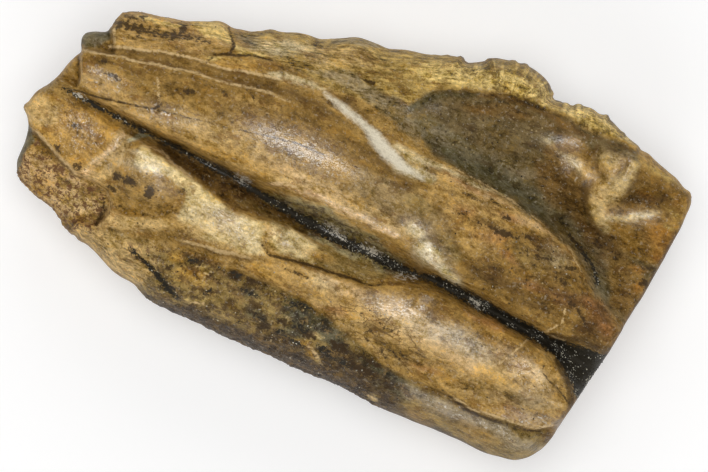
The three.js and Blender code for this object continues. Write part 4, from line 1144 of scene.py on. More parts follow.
SIDES = 4.0
RIM = [
    RimStation(0.0, 1.6, 0.8, 2.8, 2.0),
    RimStation(0.2, 3.6, 1.7, 3.8, 1.8),
    RimStation(0.5, 5.0, 2.4, 4.4, 1.8),
    RimStation(0.9, 4.6, 2.1, 3.6, 1.9),
    RimStation(1.0, 3.0, 1.3, 2.8, 2.2),
    RimStation(1.15, 0.9, 0.5, 2.2, 3.0),
    RimStation(1.9, 0.7, 0.45, 2.4, 3.0),
    RimStation(2.05, 1.6, 0.7, 3.8, 2.2),
    RimStation(2.3, 3.4, 1.3, 5.2, 1.7),
    RimStation(2.6, 2.8, 1.5, 4.4, 1.7),
    RimStation(2.95, 1.6, 0.6, 2.8, 2.0),
    RimStation(3.1, 1.0, 0.4, 2.6, 2.2),
    RimStation(3.9, 1.1, 0.45, 2.6, 2.2),
]


@dataclass
class OutlineSide:
    """One side of the plan outline, a smooth curve read by its share of length."""

    points: list[Plan]
    per_span: int = 24

    def __post_init__(self) -> None:
        """Samples the curve and measures along it."""
        knots = np.array(self.points)
        padded = np.vstack([2 * knots[0] - knots[1], knots, 2 * knots[-1] - knots[-2]])
        t = np.arange(self.per_span)[:, None] / self.per_span
        spans = []
        for a, b, c, d in zip(padded[:-3], padded[1:-2], padded[2:-1], padded[3:]):
            cubic = -a + 3 * b - 3 * c + d
            square = 2 * a - 5 * b + 4 * c - d
            spans.append(0.5 * (2 * b + (c - a) * t + square * t**2 + cubic * t**3))
        self.samples = np.vstack([*spans, knots[-1:]])
        steps = np.linalg.norm(np.diff(self.samples, axis=0), axis=1)
        self.shares = np.concatenate([[0.0], np.cumsum(steps)]) / steps.sum()

    def at(self, share: Array) -> Array:
        """Plan points at shares of the length."""
        return np.stack([np.interp(share, self.shares, axis) for axis in self.samples.T], axis=-1)

    def meeting(self, rail: Rail) -> float:
        """Share of the length at which a rail meets this side."""
        above = self.samples[:, 1] - rail.across(self.samples[:, 0])
        first = int(np.argmax(above > 0.0))
        part = above[first - 1] / (above[first - 1] - above[first])
        return float(self.shares[first - 1] + part * (self.shares[first] - self.shares[first - 1]))


@dataclass
class Shell:
    """The tooth's surface while it is made: the face, then rings down the wall and under it.

    Attributes:
        edge: Corner numbers of the lowest ring so far.
        paint: Plan places from which the corners take their stains.
        weight: How much of the face's stains shows at each corner.
        paint_depth: Depth past which the wall's stains run straight down.
    """

    loop: Array
    inward: Array
    edge: Array
    points: list[Array]
    paint: list[Array]
    weight: list[Array]
    faces: list[Array]
    paint_depth: float = 3.0
    paint_share: float = 0.6
    fade: Plan = (1.0, 5.0)

    def ring(self, plan: Array, z: Array, depth: Array) -> None:
        """Adds a ring of corners under the last, and the faces between them.

        Args:
            plan: The ring in plan.
            z: Its heights.
            depth: How far it lies under the border.
        """
        count = sum(len(part) for part in self.points)
        lower = np.arange(count, count + len(self.loop))
        self.points.append(np.column_stack([plan, z]))
        reach = np.minimum(depth, self.paint_depth) * self.paint_share
        self.paint.append(self.loop + self.inward * reach[:, None])
        self.weight.append(1.0 - smooth_step(depth, *self.fade))
        self.faces.append(np.stack([self.edge, lower, np.roll(lower, -1), np.roll(self.edge, -1)], -1))
        self.edge = lower


@dataclass
class ToothForm:
    """The whole tooth as one closed surface.

    Attributes:
        columns: Cells along the tooth.
        last_cells: Cells between the last rail and the margin's outline.
        wall_rows: Rows of cells down the wall.
        crowding: How much the cells close up at the two ends, from 0 to 1.
        end_blend: How quickly the ends' own outlines give way to the rails.
        base_rings: Shares of the way in from the wall's foot at which the base has a ring.
        base_line: The line along the middle of the base.
        shade_reach: Cells on each side over which the face's mean height is taken.
        skin_rise: Heights between which the fine relief fades in over the base.
    """

    columns: int = 290
    last_cells: int = 20
    wall_rows: int = 30
    crowding: float = 0.5
    end_blend: int = 6
    base_rings: tuple[float, ...] = (0.12, 0.3, 0.5, 0.7, 0.88)
    base_line: tuple[Plan, Plan] = ((-10.5, -1.8), (9.5, -0.2))
    base_fade: float = 4.0
    wander_pitch: float = 0.9
    wander_octaves: int = 4
    wander_shift: float = 17.3
    stain_wander: float = 0.16
    wall_wander: float = 1.2
    line_wander: float = 0.05
    line_band: float = 0.3
    broad_pitch: float = 5.0
    broad_octaves: int = 3
    broad_shift: float = 5.1
    wall_tone: Plan = (1.1, 0.5)
    shade_reach: int = 5
    shade_most: float = 0.09
    bead_start: Plan = (0.5, 3.5)
    bead_end: Plan = (12.3, 12.9)
    bead_slope: float = 0.08
    bead_line: Plan = (6.9, 7.1)
    bead_crop: float = 2.0
    skin_rise: Plan = (0.2, 1.5)
    noise: LatticeNoise = field(default_factory=lambda: LatticeNoise(11))

    def plan_grid(self) -> tuple[Array, Array]:
        """Lays out the face's cell corners in plan, a row on every rail.

        Returns:
            The corners as rows, columns and x, y, and the place round the outline of each corner
            of the grid's border.
        """
        flank, margin = OutlineSide(LOWER_FLANK), OutlineSide(CRENULATED_MARGIN)
        root, cutting = OutlineSide(ROOT_END), OutlineSide(CUTTING_END)
        even = np.linspace(0.0, 1.0, self.columns + 1)
        s = even - self.crowding * np.sin(2 * math.pi * even) / (2 * math.pi)
        fade_in = ((1.0 - s) ** self.end_blend)[:, None]
        fade_out = (s**self.end_blend)[:, None]
        lines, root_shares, cutting_shares = [flank.at(s)], [0.0], [0.0]
        for rail in RAILS.values():
            root_shares.append(root.meeting(rail))
            cutting_shares.append(cutting.meeting(rail))
            start = root.at(np.array(root_shares[-1]))[0]
            end = cutting.at(np.array(cutting_shares[-1]))[0]
            x = start + (end - start) * s
            lines.append(np.stack([x, rail.across(x)], axis=-1))
        lines.append(margin.at(s))
        root_shares.append(1.0)
        cutting_shares.append(1.0)
        grid, around_root, around_cutting = [], [], []
        cells = [rail.cells for rail in RAILS.values()] + [self.last_cells]
        for strip, count in enumerate(cells):
            last = strip == len(cells) - 1
            parts = np.arange(count + last) / count
            if strip == 0:
                parts = 1.0 - np.cos(parts * math.pi / 2)
            if last:
                parts = np.sin(parts * math.pi / 2)
            for part in parts:
                row = lines[strip] * (1 - part) + lines[strip + 1] * part
                near = root_shares[strip] * (1 - part) + root_shares[strip + 1] * part
                far = cutting_shares[strip] * (1 - part) + cutting_shares[strip + 1] * part
                near_gap = root.at(np.array(near)) - row[0]
                far_gap = cutting.at(np.array(far)) - row[-1]
                grid.append(row + near_gap * fade_in + far_gap * fade_out)
                around_root.append(near)
                around_cutting.append(far)
        around = np.concatenate([
            s[:-1], 1 + np.array(around_cutting)[:-1], 3 - s[:0:-1], SIDES - np.array(around_root)[:0:-1],
        ])
        return np.array(grid), around

    @staticmethod
    def loop_of(grid: Array) -> Array:
        """Walks a grid's border once, in the order of the rim's stations."""
        return np.concatenate([grid[0, :-1], grid[:-1, -1], grid[-1, :0:-1], grid[:0:-1, 0]])

    @staticmethod
    def rim_at(around: Array) -> dict[str, Array]:
        """The rim's shape at places round the outline, eased between its stations."""
        stops = [*RIM, replace(RIM[0], around=SIDES)]
        places = np.array([stop.around for stop in stops])
        cell = np.clip(np.searchsorted(places, around, side="right") - 1, 0, len(stops) - 2)
        t = (around - places[cell]) / (places[cell + 1] - places[cell])
        ease = t * t * (3.0 - 2.0 * t)
        shape = {}
        for name in ("fall", "reach", "tuck", "square"):
            values = np.array([getattr(stop, name) for stop in stops])
            shape[name] = values[cell] * (1 - ease) + values[cell + 1] * ease
        return shape

    def face_height(self, x: Array, y: Array, rim_distance: Array, rim_around: Array) -> Array:
        """Height of the face.

        Args:
            x: Where the points are along the tooth.
            y: Where they are across it.
            rim_distance: Their distance from the outline.
            rim_around: The nearest place round the outline.

        Returns:
            The height of each point.
        """
        across = np.array([rail.across(x) for rail in RAILS.values()])
        height = np.array([rail.height(x) for rail in RAILS.values()])
        z = monotone(across, height, y)
        for feature in RELIEF.values():
            z = z + feature.rise(x, y)
        shape = self.rim_at(rim_around)
        inward = np.clip(1.0 - rim_distance / shape["reach"], 0.0, 1.0)
        return z - shape["fall"] * (1.0 - np.sqrt(1.0 - inward * inward))

    def base_middle(self, points: Array) -> Array:
        """The nearest places to points on the line along the middle of the base."""
        start, end = np.array(self.base_line)
        line = end - start
        share = np.clip((points - start) @ line / (line @ line), 0.0, 1.0)
        return start + share[:, None] * line

    def shell(self) -> tuple[Shell, Array]:
        """Makes the tooth's surface.

        Returns:
            The surface, and how far each corner of the face stands proud.
        """
        grid, around = self.plan_grid()
        rows, columns = grid.shape[:2]
        loop = self.loop_of(grid)
        flat = grid.reshape(-1, 2)
        distance, place, _ = Path(loop.tolist(), closed=True).measure(flat[:, 0], flat[:, 1])
        loop_around = np.append(around, SIDES)
        rim_around = np.interp(place, np.arange(len(loop_around)), loop_around)
        height = self.face_height(flat[:, 0], flat[:, 1], distance, rim_around)
        index = np.arange(rows * columns).reshape(rows, columns)
        cells = np.stack([index[:-1, :-1], index[:-1, 1:], index[1:, 1:], index[1:, :-1]], -1)
        away = self.base_middle(loop) - loop
        inward = away / np.linalg.norm(away, axis=1, keepdims=True)
        edge = self.loop_of(index)
        shell = Shell(
            loop, inward, edge, [np.column_stack([flat, height])], [flat], [np.ones(len(flat))],
            [cells.reshape(-1, 4)],
        )
        top = height[edge]
        level = np.zeros(len(loop))
        shape = self.rim_at(around)
        for row in range(1, self.wall_rows + 1):
            turn = row / self.wall_rows * math.pi / 2
            inset = shape["tuck"] * (1.0 - max(math.cos(turn), 0.0) ** (2.0 / shape["square"]))
            drop = math.sin(turn) ** (2.0 / shape["square"])
            z = top * (1.0 - drop) if row < self.wall_rows else level
            shell.ring(loop + inward * inset[:, None], z, top - z)
        foot = shell.points[-1][:, :2]
        middle = self.base_middle(foot)
        for ring in self.base_rings:
            shell.ring(foot + (middle - foot) * ring, level, top + self.base_fade * ring)
        return shell, self.proud(height.reshape(rows, columns)).ravel()

    def build(self) -> bpy.types.Object:
        """Makes the tooth's mesh with all its attributes.

        Returns:
            The tooth, in metres, in the frame's place.
        """
        shell, worn = self.shell()
        mesh = bpy.data.meshes.new(NODE)
        vertices = self.in_frame(np.vstack(shell.points))
        base = tuple(shell.edge[::-1].tolist())
        mesh.from_pydata(vertices.tolist(), [], [*map(tuple, np.vstack(shell.faces).tolist()), base])
        self.dress(mesh, shell, worn)
        tooth = bpy.data.objects.new("fossil_tooth", mesh)
        bpy.context.scene.collection.objects.link(tooth)
        return tooth

    @staticmethod
    def in_frame(points: Array) -> Array:
        """Brings drawn points to the CAD node's own box, in metres."""
        low, high = (np.array(corner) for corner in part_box(NODE))
        drawn_low, drawn_high = points.min(axis=0), points.max(axis=0)
        return low + (points - drawn_low) * (high - low) / (drawn_high - drawn_low)

    def proud(self, height: Array) -> Array:
        """How far each corner of the face stands over its neighbourhood's mean height."""
        reach = self.shade_reach
        window = 2 * reach + 1
        mean = height
        for axis in (0, 1):
            border = [(reach, reach) if side == axis else (0, 0) for side in (0, 1)]
            sums = np.cumsum(np.pad(mean, border, mode="edge"), axis=axis)
            sums = np.insert(sums, 0, 0.0, axis=axis)
            ends = np.take(sums, range(window, sums.shape[axis]), axis=axis)
            mean = (ends - np.take(sums, range(ends.shape[axis]), axis=axis)) / window
        return np.clip(height - mean, -self.shade_most, self.shade_most)

    def dress(self, mesh: bpy.types.Mesh, shell: Shell, worn: Array) -> None:
        """Stores the colour and the masks as the mesh's attributes.

        Args:
            mesh: The tooth's mesh.
            shell: The surface that it was made from.
            worn: How far the face's corners stand over those around them.
        """
        points, paint = np.vstack(shell.points), np.vstack(shell.paint)
        weight = np.concatenate(shell.weight)
        wander = np.column_stack([
            self.noise.layers(points + shift, self.wander_pitch, self.wander_octaves)
            for shift in (0.0, self.wander_shift)
        ])
        loose = self.stain_wander + self.wall_wander * (1.0 - weight)
        x, y = (paint + wander * loose[:, None]).T
        colour = self.stained(x, y)
        broad = self.noise.layers(points + self.broad_shift, self.broad_pitch, self.broad_octaves)
        plain, swing = self.wall_tone
        under = np.array(Pigment.UMBER.value) * (plain + swing * broad[:, None])
        colour = under + (colour - under) * weight[:, None]
        attribute = mesh.attributes.new(Mask.COAT.value, "FLOAT_COLOR", "POINT")
        attribute.data.foreach_set("color", np.column_stack([colour, np.ones(len(colour))]).ravel())
        masks = {
            mask: np.max([shape.cover(x, y) for shape in shapes], axis=0) * weight
            for mask, shapes in MASKS.items()
        }
        fine_x, fine_y = (paint + wander * self.line_wander).T
        for mask, shapes in LINES.items():
            reach = np.max([shape.reach(fine_x, fine_y) for shape in shapes], axis=0)
            masks[mask] = np.clip(0.5 + reach / (2 * self.line_band), 0.0, 1.0) * weight
        distance, place, _ = Path(shell.loop.tolist(), closed=True).measure(points[:, 0], points[:, 1])
        steps = np.linalg.norm(np.diff(shell.loop, axis=0), axis=1)
        length = np.concatenate([[0.0], np.cumsum(steps)])
        masks[Mask.RIM_ALONG] = np.interp(place, np.arange(len(shell.loop)), length)
        masks[Mask.RIM_IN] = distance
        beaded = smooth_step(points[:, 0], *self.bead_start)
        beaded = beaded * (1 - smooth_step(points[:, 0], *self.bead_end))
        high = np.clip(1.0 + self.bead_crop * (weight - 1.0), 0.0, 1.0)
        masks[Mask.BEAD] = beaded * smooth_step(y - self.bead_slope * x, *self.bead_line) * high
        masks[Mask.SKIN] = smooth_step(points[:, 2], *self.skin_rise)
        # painted shade from the face's relief: negative in hollows, positive on what stands proud
        masks[Mask.WORN] = np.concatenate([worn, np.zeros(len(points) - len(worn))])
        for mask, values in masks.items():
            attribute = mesh.attributes.new(mask.value, "FLOAT", "POINT")
            attribute.data.foreach_set("value", values.astype(np.float32))

    @staticmethod
    def stained(x: Array, y: Array) -> Array:
        """Colour of the face under all its coats, a row for each point."""
        colour = np.tile(Pigment.BRONZE.value, (len(x), 1))
        for coat in COATS:
            cover = np.max([shape.cover(x, y) for shape in coat.shapes], axis=0) * coat.strength
            colour = colour + (np.array(coat.pigment.value) - colour) * cover[:, None]
        return colour


@dataclass(frozen=True)
class Ease:
    """A soft step.

    Attributes:
        low: Where it starts.
        high: Where it ends, which may lie below the start.
        start: Its value up to its start.
        end: Its value past its end.
    """

    low: float
    high: float
    start: float = 0.0
    end: float = 1.0


@dataclass(frozen=True)
class Texture:
    """A noise in the mineral.

    Attributes:
        pitch: Its features in a millimetre.
        octaves: How many finer noises it holds.
        rough: How strong the finer ones are.
        stretch: Factors on its three axes, which draw it out where they are small.
        shift: What is added to its coordinates.
    """

    pitch: float
    octaves: float
    rough: float
    stretch: Triple | None = None
    shift: Triple | None = None


class Graph:
    """Adds and joins the nodes of one tree, so that the tree reads as a list of sums."""

    COLUMNS, STEP_X, STEP_Y = 24, 190.0, -220.0

    def __init__(self, tree: bpy.types.NodeTree) -> None:
        """Keeps the tree."""
        self.tree = tree

    def node(self, kind: str, **settings: object) -> bpy.types.Node:
        """Adds a node.

        Args:
            kind: Blender's name of the node's type.
            **settings: Properties to set on it.

        Returns:
            The node.
        """
        node = self.tree.nodes.new(kind)
        row, column = divmod(len(self.tree.nodes), self.COLUMNS)
        node.location = (self.STEP_X * column, self.STEP_Y * row)
        for name, value in settings.items():
            setattr(node, name, value)
        return node

    def feed(self, socket: Socket, value: object) -> None:
        """Links a socket to another socket, or sets its value."""
        if isinstance(value, Socket):
            self.tree.links.new(value, socket)
        else:
            socket.default_value = value

    def math(self, operation: str, *values: object, clamp: bool = False) -> Socket:
        """One sum of plain numbers."""
        node = self.node("ShaderNodeMath", operation=operation, use_clamp=clamp)
        for socket, value in zip(node.inputs, values):
            self.feed(socket, value)
        return node.outputs[0]

    def times(self, first: object, second: object) -> Socket:
        """The product of two numbers."""
        return self.math("MULTIPLY", first, second)

    def plus(self, first: object, second: object) -> Socket:
        """The sum of two numbers."""
        return self.math("ADD", first, second)

    def vector(self, operation: str, *values: object) -> Socket:
        """One sum of vectors."""
        node = self.node("ShaderNodeVectorMath", operation=operation)
        for socket, value in zip(node.inputs, values):
            self.feed(socket, value)
        return node.outputs[0]

    def scaled(self, vector: object, scale: object) -> Socket:
        """A vector times a number."""
        node = self.node("ShaderNodeVectorMath", operation="SCALE")
        self.feed(node.inputs[0], vector)
        self.feed(node.inputs["Scale"], scale)
        return node.outputs[0]

    def ease(self, value: object, ease: Ease) -> Socket:
        """A soft step of a number."""
        node = self.node("ShaderNodeMapRange", interpolation_type="SMOOTHSTEP")
        for socket, given in zip(node.inputs, (value, ease.low, ease.high, ease.start, ease.end)):
            self.feed(socket, given)
        return node.outputs[0]

    def mix(self, share: object, first: object, second: object) -> Socket:
        """A colour between two."""
        node = self.node("ShaderNodeMix", data_type="RGBA")
        sockets = {socket.identifier: socket for socket in node.inputs}
        self.feed(sockets["Factor_Float"], share)
        self.feed(sockets["A_Color"], first)
        self.feed(sockets["B_Color"], second)
        return next(socket for socket in node.outputs if socket.identifier == "Result_Color")

    def texture(self, texture: Texture, place: object) -> Socket:
        """A noise about 0.5 at a place."""
        if texture.stretch:
            place = self.vector("MULTIPLY", place, texture.stretch)
        if texture.shift:
            place = self.vector("ADD", place, texture.shift)
        node = self.node("ShaderNodeTexNoise")
        self.feed(node.inputs["Vector"], place)
        self.feed(node.inputs["Scale"], texture.pitch)
        self.feed(node.inputs["Detail"], texture.octaves)
        self.feed(node.inputs["Roughness"], texture.rough)
        return node.outputs[0]

    def cells(self, vector: object, scale: float, output: str = "Distance", feature: str = "F1") -> Socket:
        """Distance to the nearest of scattered points or cell walls, or that point's own colour."""
        node = self.node("ShaderNodeTexVoronoi", feature=feature)
        self.feed(node.inputs["Vector"], vector)
        self.feed(node.inputs["Scale"], scale)
        return node.outputs[output]

    def pair(self, x: Socket, y: Socket) -> Socket:
        """A flat vector of two numbers."""
        node = self.node("ShaderNodeCombineXYZ")
        self.feed(node.inputs[0], x)
        self.feed(node.inputs[1], y)
        return node.outputs[0]


class MeshGraph(Graph):
    """A Geometry Nodes tree that works on a mesh, with named inputs and a material."""

    def __init__(self, name: str, inputs: dict[str, float | int]) -> None:
        """Makes the tree and its sockets.

        Args:
            name: The tree's name.
            inputs: Its named inputs and their values.
        """
        super().__init__(bpy.data.node_groups.new(name, "GeometryNodeTree"))
        self.inputs = inputs
        sockets = self.tree.interface
        sockets.new_socket("Geometry", in_out="INPUT", socket_type="NodeSocketGeometry")
        for title, value in inputs.items():
            kind = "NodeSocketInt" if isinstance(value, int) else "NodeSocketFloat"
            sockets.new_socket(title, in_out="INPUT", socket_type=kind).default_value = value
        sockets.new_socket("Material", in_out="INPUT", socket_type="NodeSocketMaterial")
        sockets.new_socket("Geometry", in_out="OUTPUT", socket_type="NodeSocketGeometry")
        self.given = self.node("NodeGroupInput").outputs

    def mask(self, name: Mask) -> Socket:
        """A stored mask."""
        node = self.node("GeometryNodeInputNamedAttribute", data_type="FLOAT")
        node.inputs["Name"].default_value = name.value
        return node.outputs["Attribute"]

    def place(self) -> Socket:
        """Where a point lies."""
        return self.node("GeometryNodeInputPosition").outputs[0]

    def finish(self, geometry: Socket) -> None:
        """Ends the tree in Realize Instances and Set Material."""
        whole = self.node("GeometryNodeRealizeInstances")
        self.feed(whole.inputs["Geometry"], geometry)
        dressed = self.node("GeometryNodeSetMaterial")
        self.feed(dressed.inputs["Geometry"], whole.outputs["Geometry"])
        self.feed(dressed.inputs["Material"], self.given["Material"])
        self.feed(self.node("NodeGroupOutput").inputs["Geometry"], dressed.outputs["Geometry"])

    def run(self, piece: bpy.types.Object, material: bpy.types.Material) -> None:
        """Runs the tree on a piece and keeps the result as its plain mesh.

        Args:
            piece: The piece.
            material: Its material.
        """
        values = {**self.inputs, "Material": material}
        modifier = piece.modifiers.new(self.tree.name, "NODES")
        modifier.node_group = self.tree
        for item in self.tree.interface.items_tree:
            if item.item_type == "SOCKET" and item.in_out == "INPUT" and item.name in values:
                modifier[item.identifier] = values[item.name]
        evaluated = piece.evaluated_get(bpy.context.evaluated_depsgraph_get())
        mesh = bpy.data.meshes.new_from_object(evaluated)
        piece.modifiers.remove(modifier)
        piece.data = mesh
        mesh.shade_smooth()


@dataclass(frozen=True)
class Relief:
    """One kind of fine relief.

    Attributes:
        name: What its inputs are called.
        pitch: Its coarsest size in millimetres.
        height: How far it rises and falls, in millimetres.
        stretch: Factors on its three axes.
        texture: Its noise, counted in pitches, or nothing where it is made of cells.
    """

    name: str
    pitch: float
    height: float
    stretch: Triple = (1.0, 1.0, 1.0)
    texture: Texture | None = None


@dataclass(frozen=True)
class Weathering:
    """Fine relief of the whole surface, made by one Geometry Nodes tree."""

    ripple: Relief = Relief("Ripple", 1.5, 0.055, texture=Texture(1.0, 4.0, 0.55))
    crinkle: Relief = Relief("Crinkle", 0.3, 0.014, texture=Texture(1.0, 3.0, 0.6))
    fibre: Relief = Relief("Fibre", 0.2, 0.05, (0.16, 1.0, 1.0), Texture(1.0, 3.0, 0.55))
    grain: Relief = Relief("Grain", 0.26, 0.1)
    bead: Relief = Relief("Bead", 0.42, 0.06, (1.0, 0.45, 1.0))
    bead_edge: Ease = Ease(0.1, 0.6, 1.0, 0.0)
    seed: float = 3.0

    def graph(self) -> MeshGraph:
        """Builds the tree.

        Returns:
            A tree that moves each corner along its normal.
        """
        inputs = {"Seed": self.seed}
        for relief in (self.ripple, self.crinkle, self.fibre, self.grain, self.bead):
            inputs |= {f"{relief.name} Pitch": relief.pitch, f"{relief.name} Height": relief.height}
        graph = MeshGraph("weathering", inputs)

        def pattern(relief: Relief, place: Socket) -> Socket:
            """A relief's own noise, or its cells."""
            stretched = graph.vector("MULTIPLY", place, relief.stretch)
            counted = graph.vector("DIVIDE", stretched, graph.given[f"{relief.name} Pitch"])
            return graph.texture(relief.texture, counted) if relief.texture else graph.cells(counted, 1.0)

        def layer(relief: Relief, value: Socket, where: Socket) -> Socket:
            """Height of a relief, up and down about the surface."""
            swing = graph.times(graph.math("SUBTRACT", value, 0.5), 2.0)
            return graph.times(graph.times(swing, graph.given[f"{relief.name} Height"]), where)

        place = graph.vector("ADD", graph.scaled(graph.place(), 1.0 / MM), graph.given["Seed"])
        rim = graph.pair(graph.mask(Mask.RIM_ALONG), graph.mask(Mask.RIM_IN))
        grainy = graph.plus(graph.mask(Mask.GRANULAR), graph.mask(Mask.MOTTLE))
        total = layer(self.ripple, pattern(self.ripple, place), graph.mask(Mask.SKIN))
        for relief, value, where in (
            (self.crinkle, pattern(self.crinkle, place), graph.mask(Mask.GLOSS)),
            (self.fibre, pattern(self.fibre, place), graph.mask(Mask.FIBRE)),
            (self.grain, pattern(self.grain, place), grainy),
            (self.bead, graph.ease(pattern(self.bead, rim), self.bead_edge), graph.mask(Mask.BEAD)),
        ):
            total = graph.plus(total, layer(relief, value, where))
        normal = graph.node("GeometryNodeInputNormal").outputs[0]
        moved = graph.node("GeometryNodeSetPosition")
        graph.feed(moved.inputs["Geometry"], graph.given["Geometry"])
        graph.feed(moved.inputs["Offset"], graph.scaled(normal, graph.times(total, MM)))
        graph.finish(moved.outputs["Geometry"])
        return graph

    def weather(self, piece: bpy.types.Object, material: bpy.types.Material) -> None:
        """Weathers a piece and gives it its material, and keeps it from sinking into the floor.

        Args:
            piece: The piece, whose mesh is replaced.
            material: Its material.
        """
        self.graph().run(piece, material)
        corners = np.empty(len(piece.data.vertices) * 3, np.float32)
        piece.data.vertices.foreach_get("co", corners)
        corners[2::3] = np.maximum(corners[2::3], 0.0)
        piece.data.vertices.foreach_set("co", corners)
        piece.data.update()


@dataclass(frozen=True)
class SeamGrit:
    """Crystals in the seam, scattered by one Geometry Nodes tree."""

    density: float = 190.0
    clusters: float = 1.3
    cluster_noise: Plan = (4.0, 0.7)
    cluster_edge: Ease = Ease(0.5, 0.62, 0.04, 1.0)
    soot_edge: Ease = Ease(0.52, 0.64)
    flank_share: float = 0.05
    smallest: float = 0.008
    largest: float = 0.055
    spin: Triple = (6.28, 6.28, 6.28)
    seed: int = 7

    def inputs(self) -> dict[str, float | int]:
        """The tree's named inputs and their values, in metres."""
        return {
            "Density": self.density / MM**2,
            "Flank Share": self.flank_share,
            "Smallest": self.smallest * MM,
            "Largest": self.largest * MM,
            "Clusters": self.clusters / MM,
            "Seed": self.seed,
        }

    def graph(self) -> MeshGraph:
        """Builds the tree.

        Returns:
            A tree that scatters crystals on the dark parts of a surface.
        """
        graph = MeshGraph("seam_grit", self.inputs())
        given = graph.given
        flank = graph.times(graph.mask(Mask.MOTTLE), given["Flank Share"])
        inside = graph.plus(graph.ease(graph.mask(Mask.SOOT), self.soot_edge), flank)
        where = graph.texture(Texture(given["Clusters"], *self.cluster_noise), graph.place())
        inside = graph.times(inside, graph.ease(where, self.cluster_edge))
        scatter = graph.node("GeometryNodeDistributePointsOnFaces")
        graph.feed(scatter.inputs["Mesh"], given["Geometry"])
        graph.feed(scatter.inputs["Density"], graph.times(inside, given["Density"]))
        graph.feed(scatter.inputs["Seed"], given["Seed"])

        def random(kind: str, low: object, high: object) -> Socket:
            """A random value for each crystal."""
            node = graph.node("FunctionNodeRandomValue", data_type=kind)
            sockets = [socket for socket in node.inputs if socket.enabled]
            graph.feed(sockets[0], low)
            graph.feed(sockets[1], high)
            graph.feed(node.inputs["Seed"], given["Seed"])
            return next(socket for socket in node.outputs if socket.enabled)

        crystal = graph.node("GeometryNodeMeshIcoSphere")
        crystal.inputs["Radius"].default_value = 1.0
        crystal.inputs["Subdivisions"].default_value = 1
        copies = graph.node("GeometryNodeInstanceOnPoints")
        graph.feed(copies.inputs["Points"], scatter.outputs["Points"])
        graph.feed(copies.inputs["Instance"], crystal.outputs["Mesh"])
        graph.feed(copies.inputs["Rotation"], random("FLOAT_VECTOR", (0.0, 0.0, 0.0), self.spin))
        graph.feed(copies.inputs["Scale"], random("FLOAT_VECTOR", given["Smallest"], given["Largest"]))
        shade = graph.node("GeometryNodeStoreNamedAttribute", data_type="FLOAT", domain="INSTANCE")
        graph.feed(shade.inputs["Geometry"], copies.outputs["Instances"])
        shade.inputs["Name"].default_value = SHADE
        graph.feed(shade.inputs["Value"], random("FLOAT", 0.0, 1.0))
        graph.finish(shade.outputs["Geometry"])
        return graph

    def scatter(self, tooth: bpy.types.Object, material: bpy.types.Material) -> bpy.types.Object:
        """Scatters the crystals over the tooth's seam.

        Args:
            tooth: The finished tooth.
            material: The crystals' material.

        Returns:
            The crystals as one piece.
        """
        grit = bpy.data.objects.new("seam_grit", tooth.data.copy())
        bpy.context.scene.collection.objects.link(grit)
        self.graph().run(grit, material)
        return grit


class MaterialGraph(Graph):
    """The nodes of one material, from its attributes to its shader."""

    def __init__(self, name: str) -> None:
        """Makes an empty material of this name."""
        self.material = bpy.data.materials.new(name)
        self.material.use_nodes = True
        super().__init__(self.material.node_tree)
        self.tree.nodes.clear()

    def stored(self, name: str, output: str = "Fac") -> Socket:
        """A stored attribute."""
        return self.node("ShaderNodeAttribute", attribute_name=name).outputs[output]

    def mask(self, name: Mask) -> Socket:
        """A stored mask."""
        return self.stored(name.value)

    def around(self, value: Socket, swing: float, reach: float) -> Socket:
        """A noise as a swing up and down, which is full at that reach from its mean."""
        return self.ease(value, Ease(0.5 - reach, 0.5 + reach, -swing, swing))

    def shader(self, values: dict[str, object]) -> bpy.types.Material:
        """Ends the material in a Principled shader.

        Args:
            values: Numbers, colours and sockets for the shader's inputs.

        Returns:
            The material.
        """
        shader = self.node("ShaderNodeBsdfPrincipled")
        for name, value in values.items():
            self.feed(shader.inputs[name], value)
        self.feed(self.node("ShaderNodeOutputMaterial").inputs["Surface"], shader.outputs[0])
        return self.material


class Grain(Enum):
    """The noises that the mineral is textured with."""

    BROAD = Texture(1.0, 6.0, 0.7)
    FINE = Texture(5.0, 5.0, 0.7)
    TINY = Texture(13.0, 3.0, 0.6)
    BLOTCH = Texture(2.1, 5.0, 0.75)
    FLECK = Texture(3.4, 4.0, 0.75, (0.75, 1.2, 1.0))
    STREAK = Texture(1.0, 3.0, 0.65, (0.9, 2.6, 1.8))
    PORE = Texture(5.5, 3.0, 0.7, None, (3.0, 7.0, 1.0))
    PATCH = Texture(0.9, 6.0, 0.72, (0.7, 1.3, 1.0))
    DRIFT = Texture(1.4, 3.0, 0.6)
    GOLD = Texture(2.2, 5.0, 0.75, None, (9.0, 4.0, 2.0))
    RED = Texture(2.8, 4.0, 0.8)
    WRINKLE = Texture(4.0, 2.0, 0.5, (0.8, 1.2, 1.0))


@dataclass(frozen=True)
class Specks:
    """Specks at scattered points.

    Attributes:
        pitch: Points in a millimetre.
        size: How a speck falls from its middle.
        chosen: Values of a point's own chance between which it gets a speck.
        elsewhere: How strong they are outside the specked places.
        shift: What is added to their coordinates.
    """

    pitch: float
    size: Ease
    chosen: Ease
    elsewhere: float
    shift: Triple | None = None


@dataclass(frozen=True)
class Mark:
    """How the narrow marks of one mask look.

    Attributes:
        mask: The mask.
        pigment: Their colour.
        swing: How far the fine noise moves their edges.
        soft: Half the width of their edges.
        strength: How much they hide.
    """

    mask: Mask
    pigment: Pigment
    swing: float
    soft: float
    strength: float


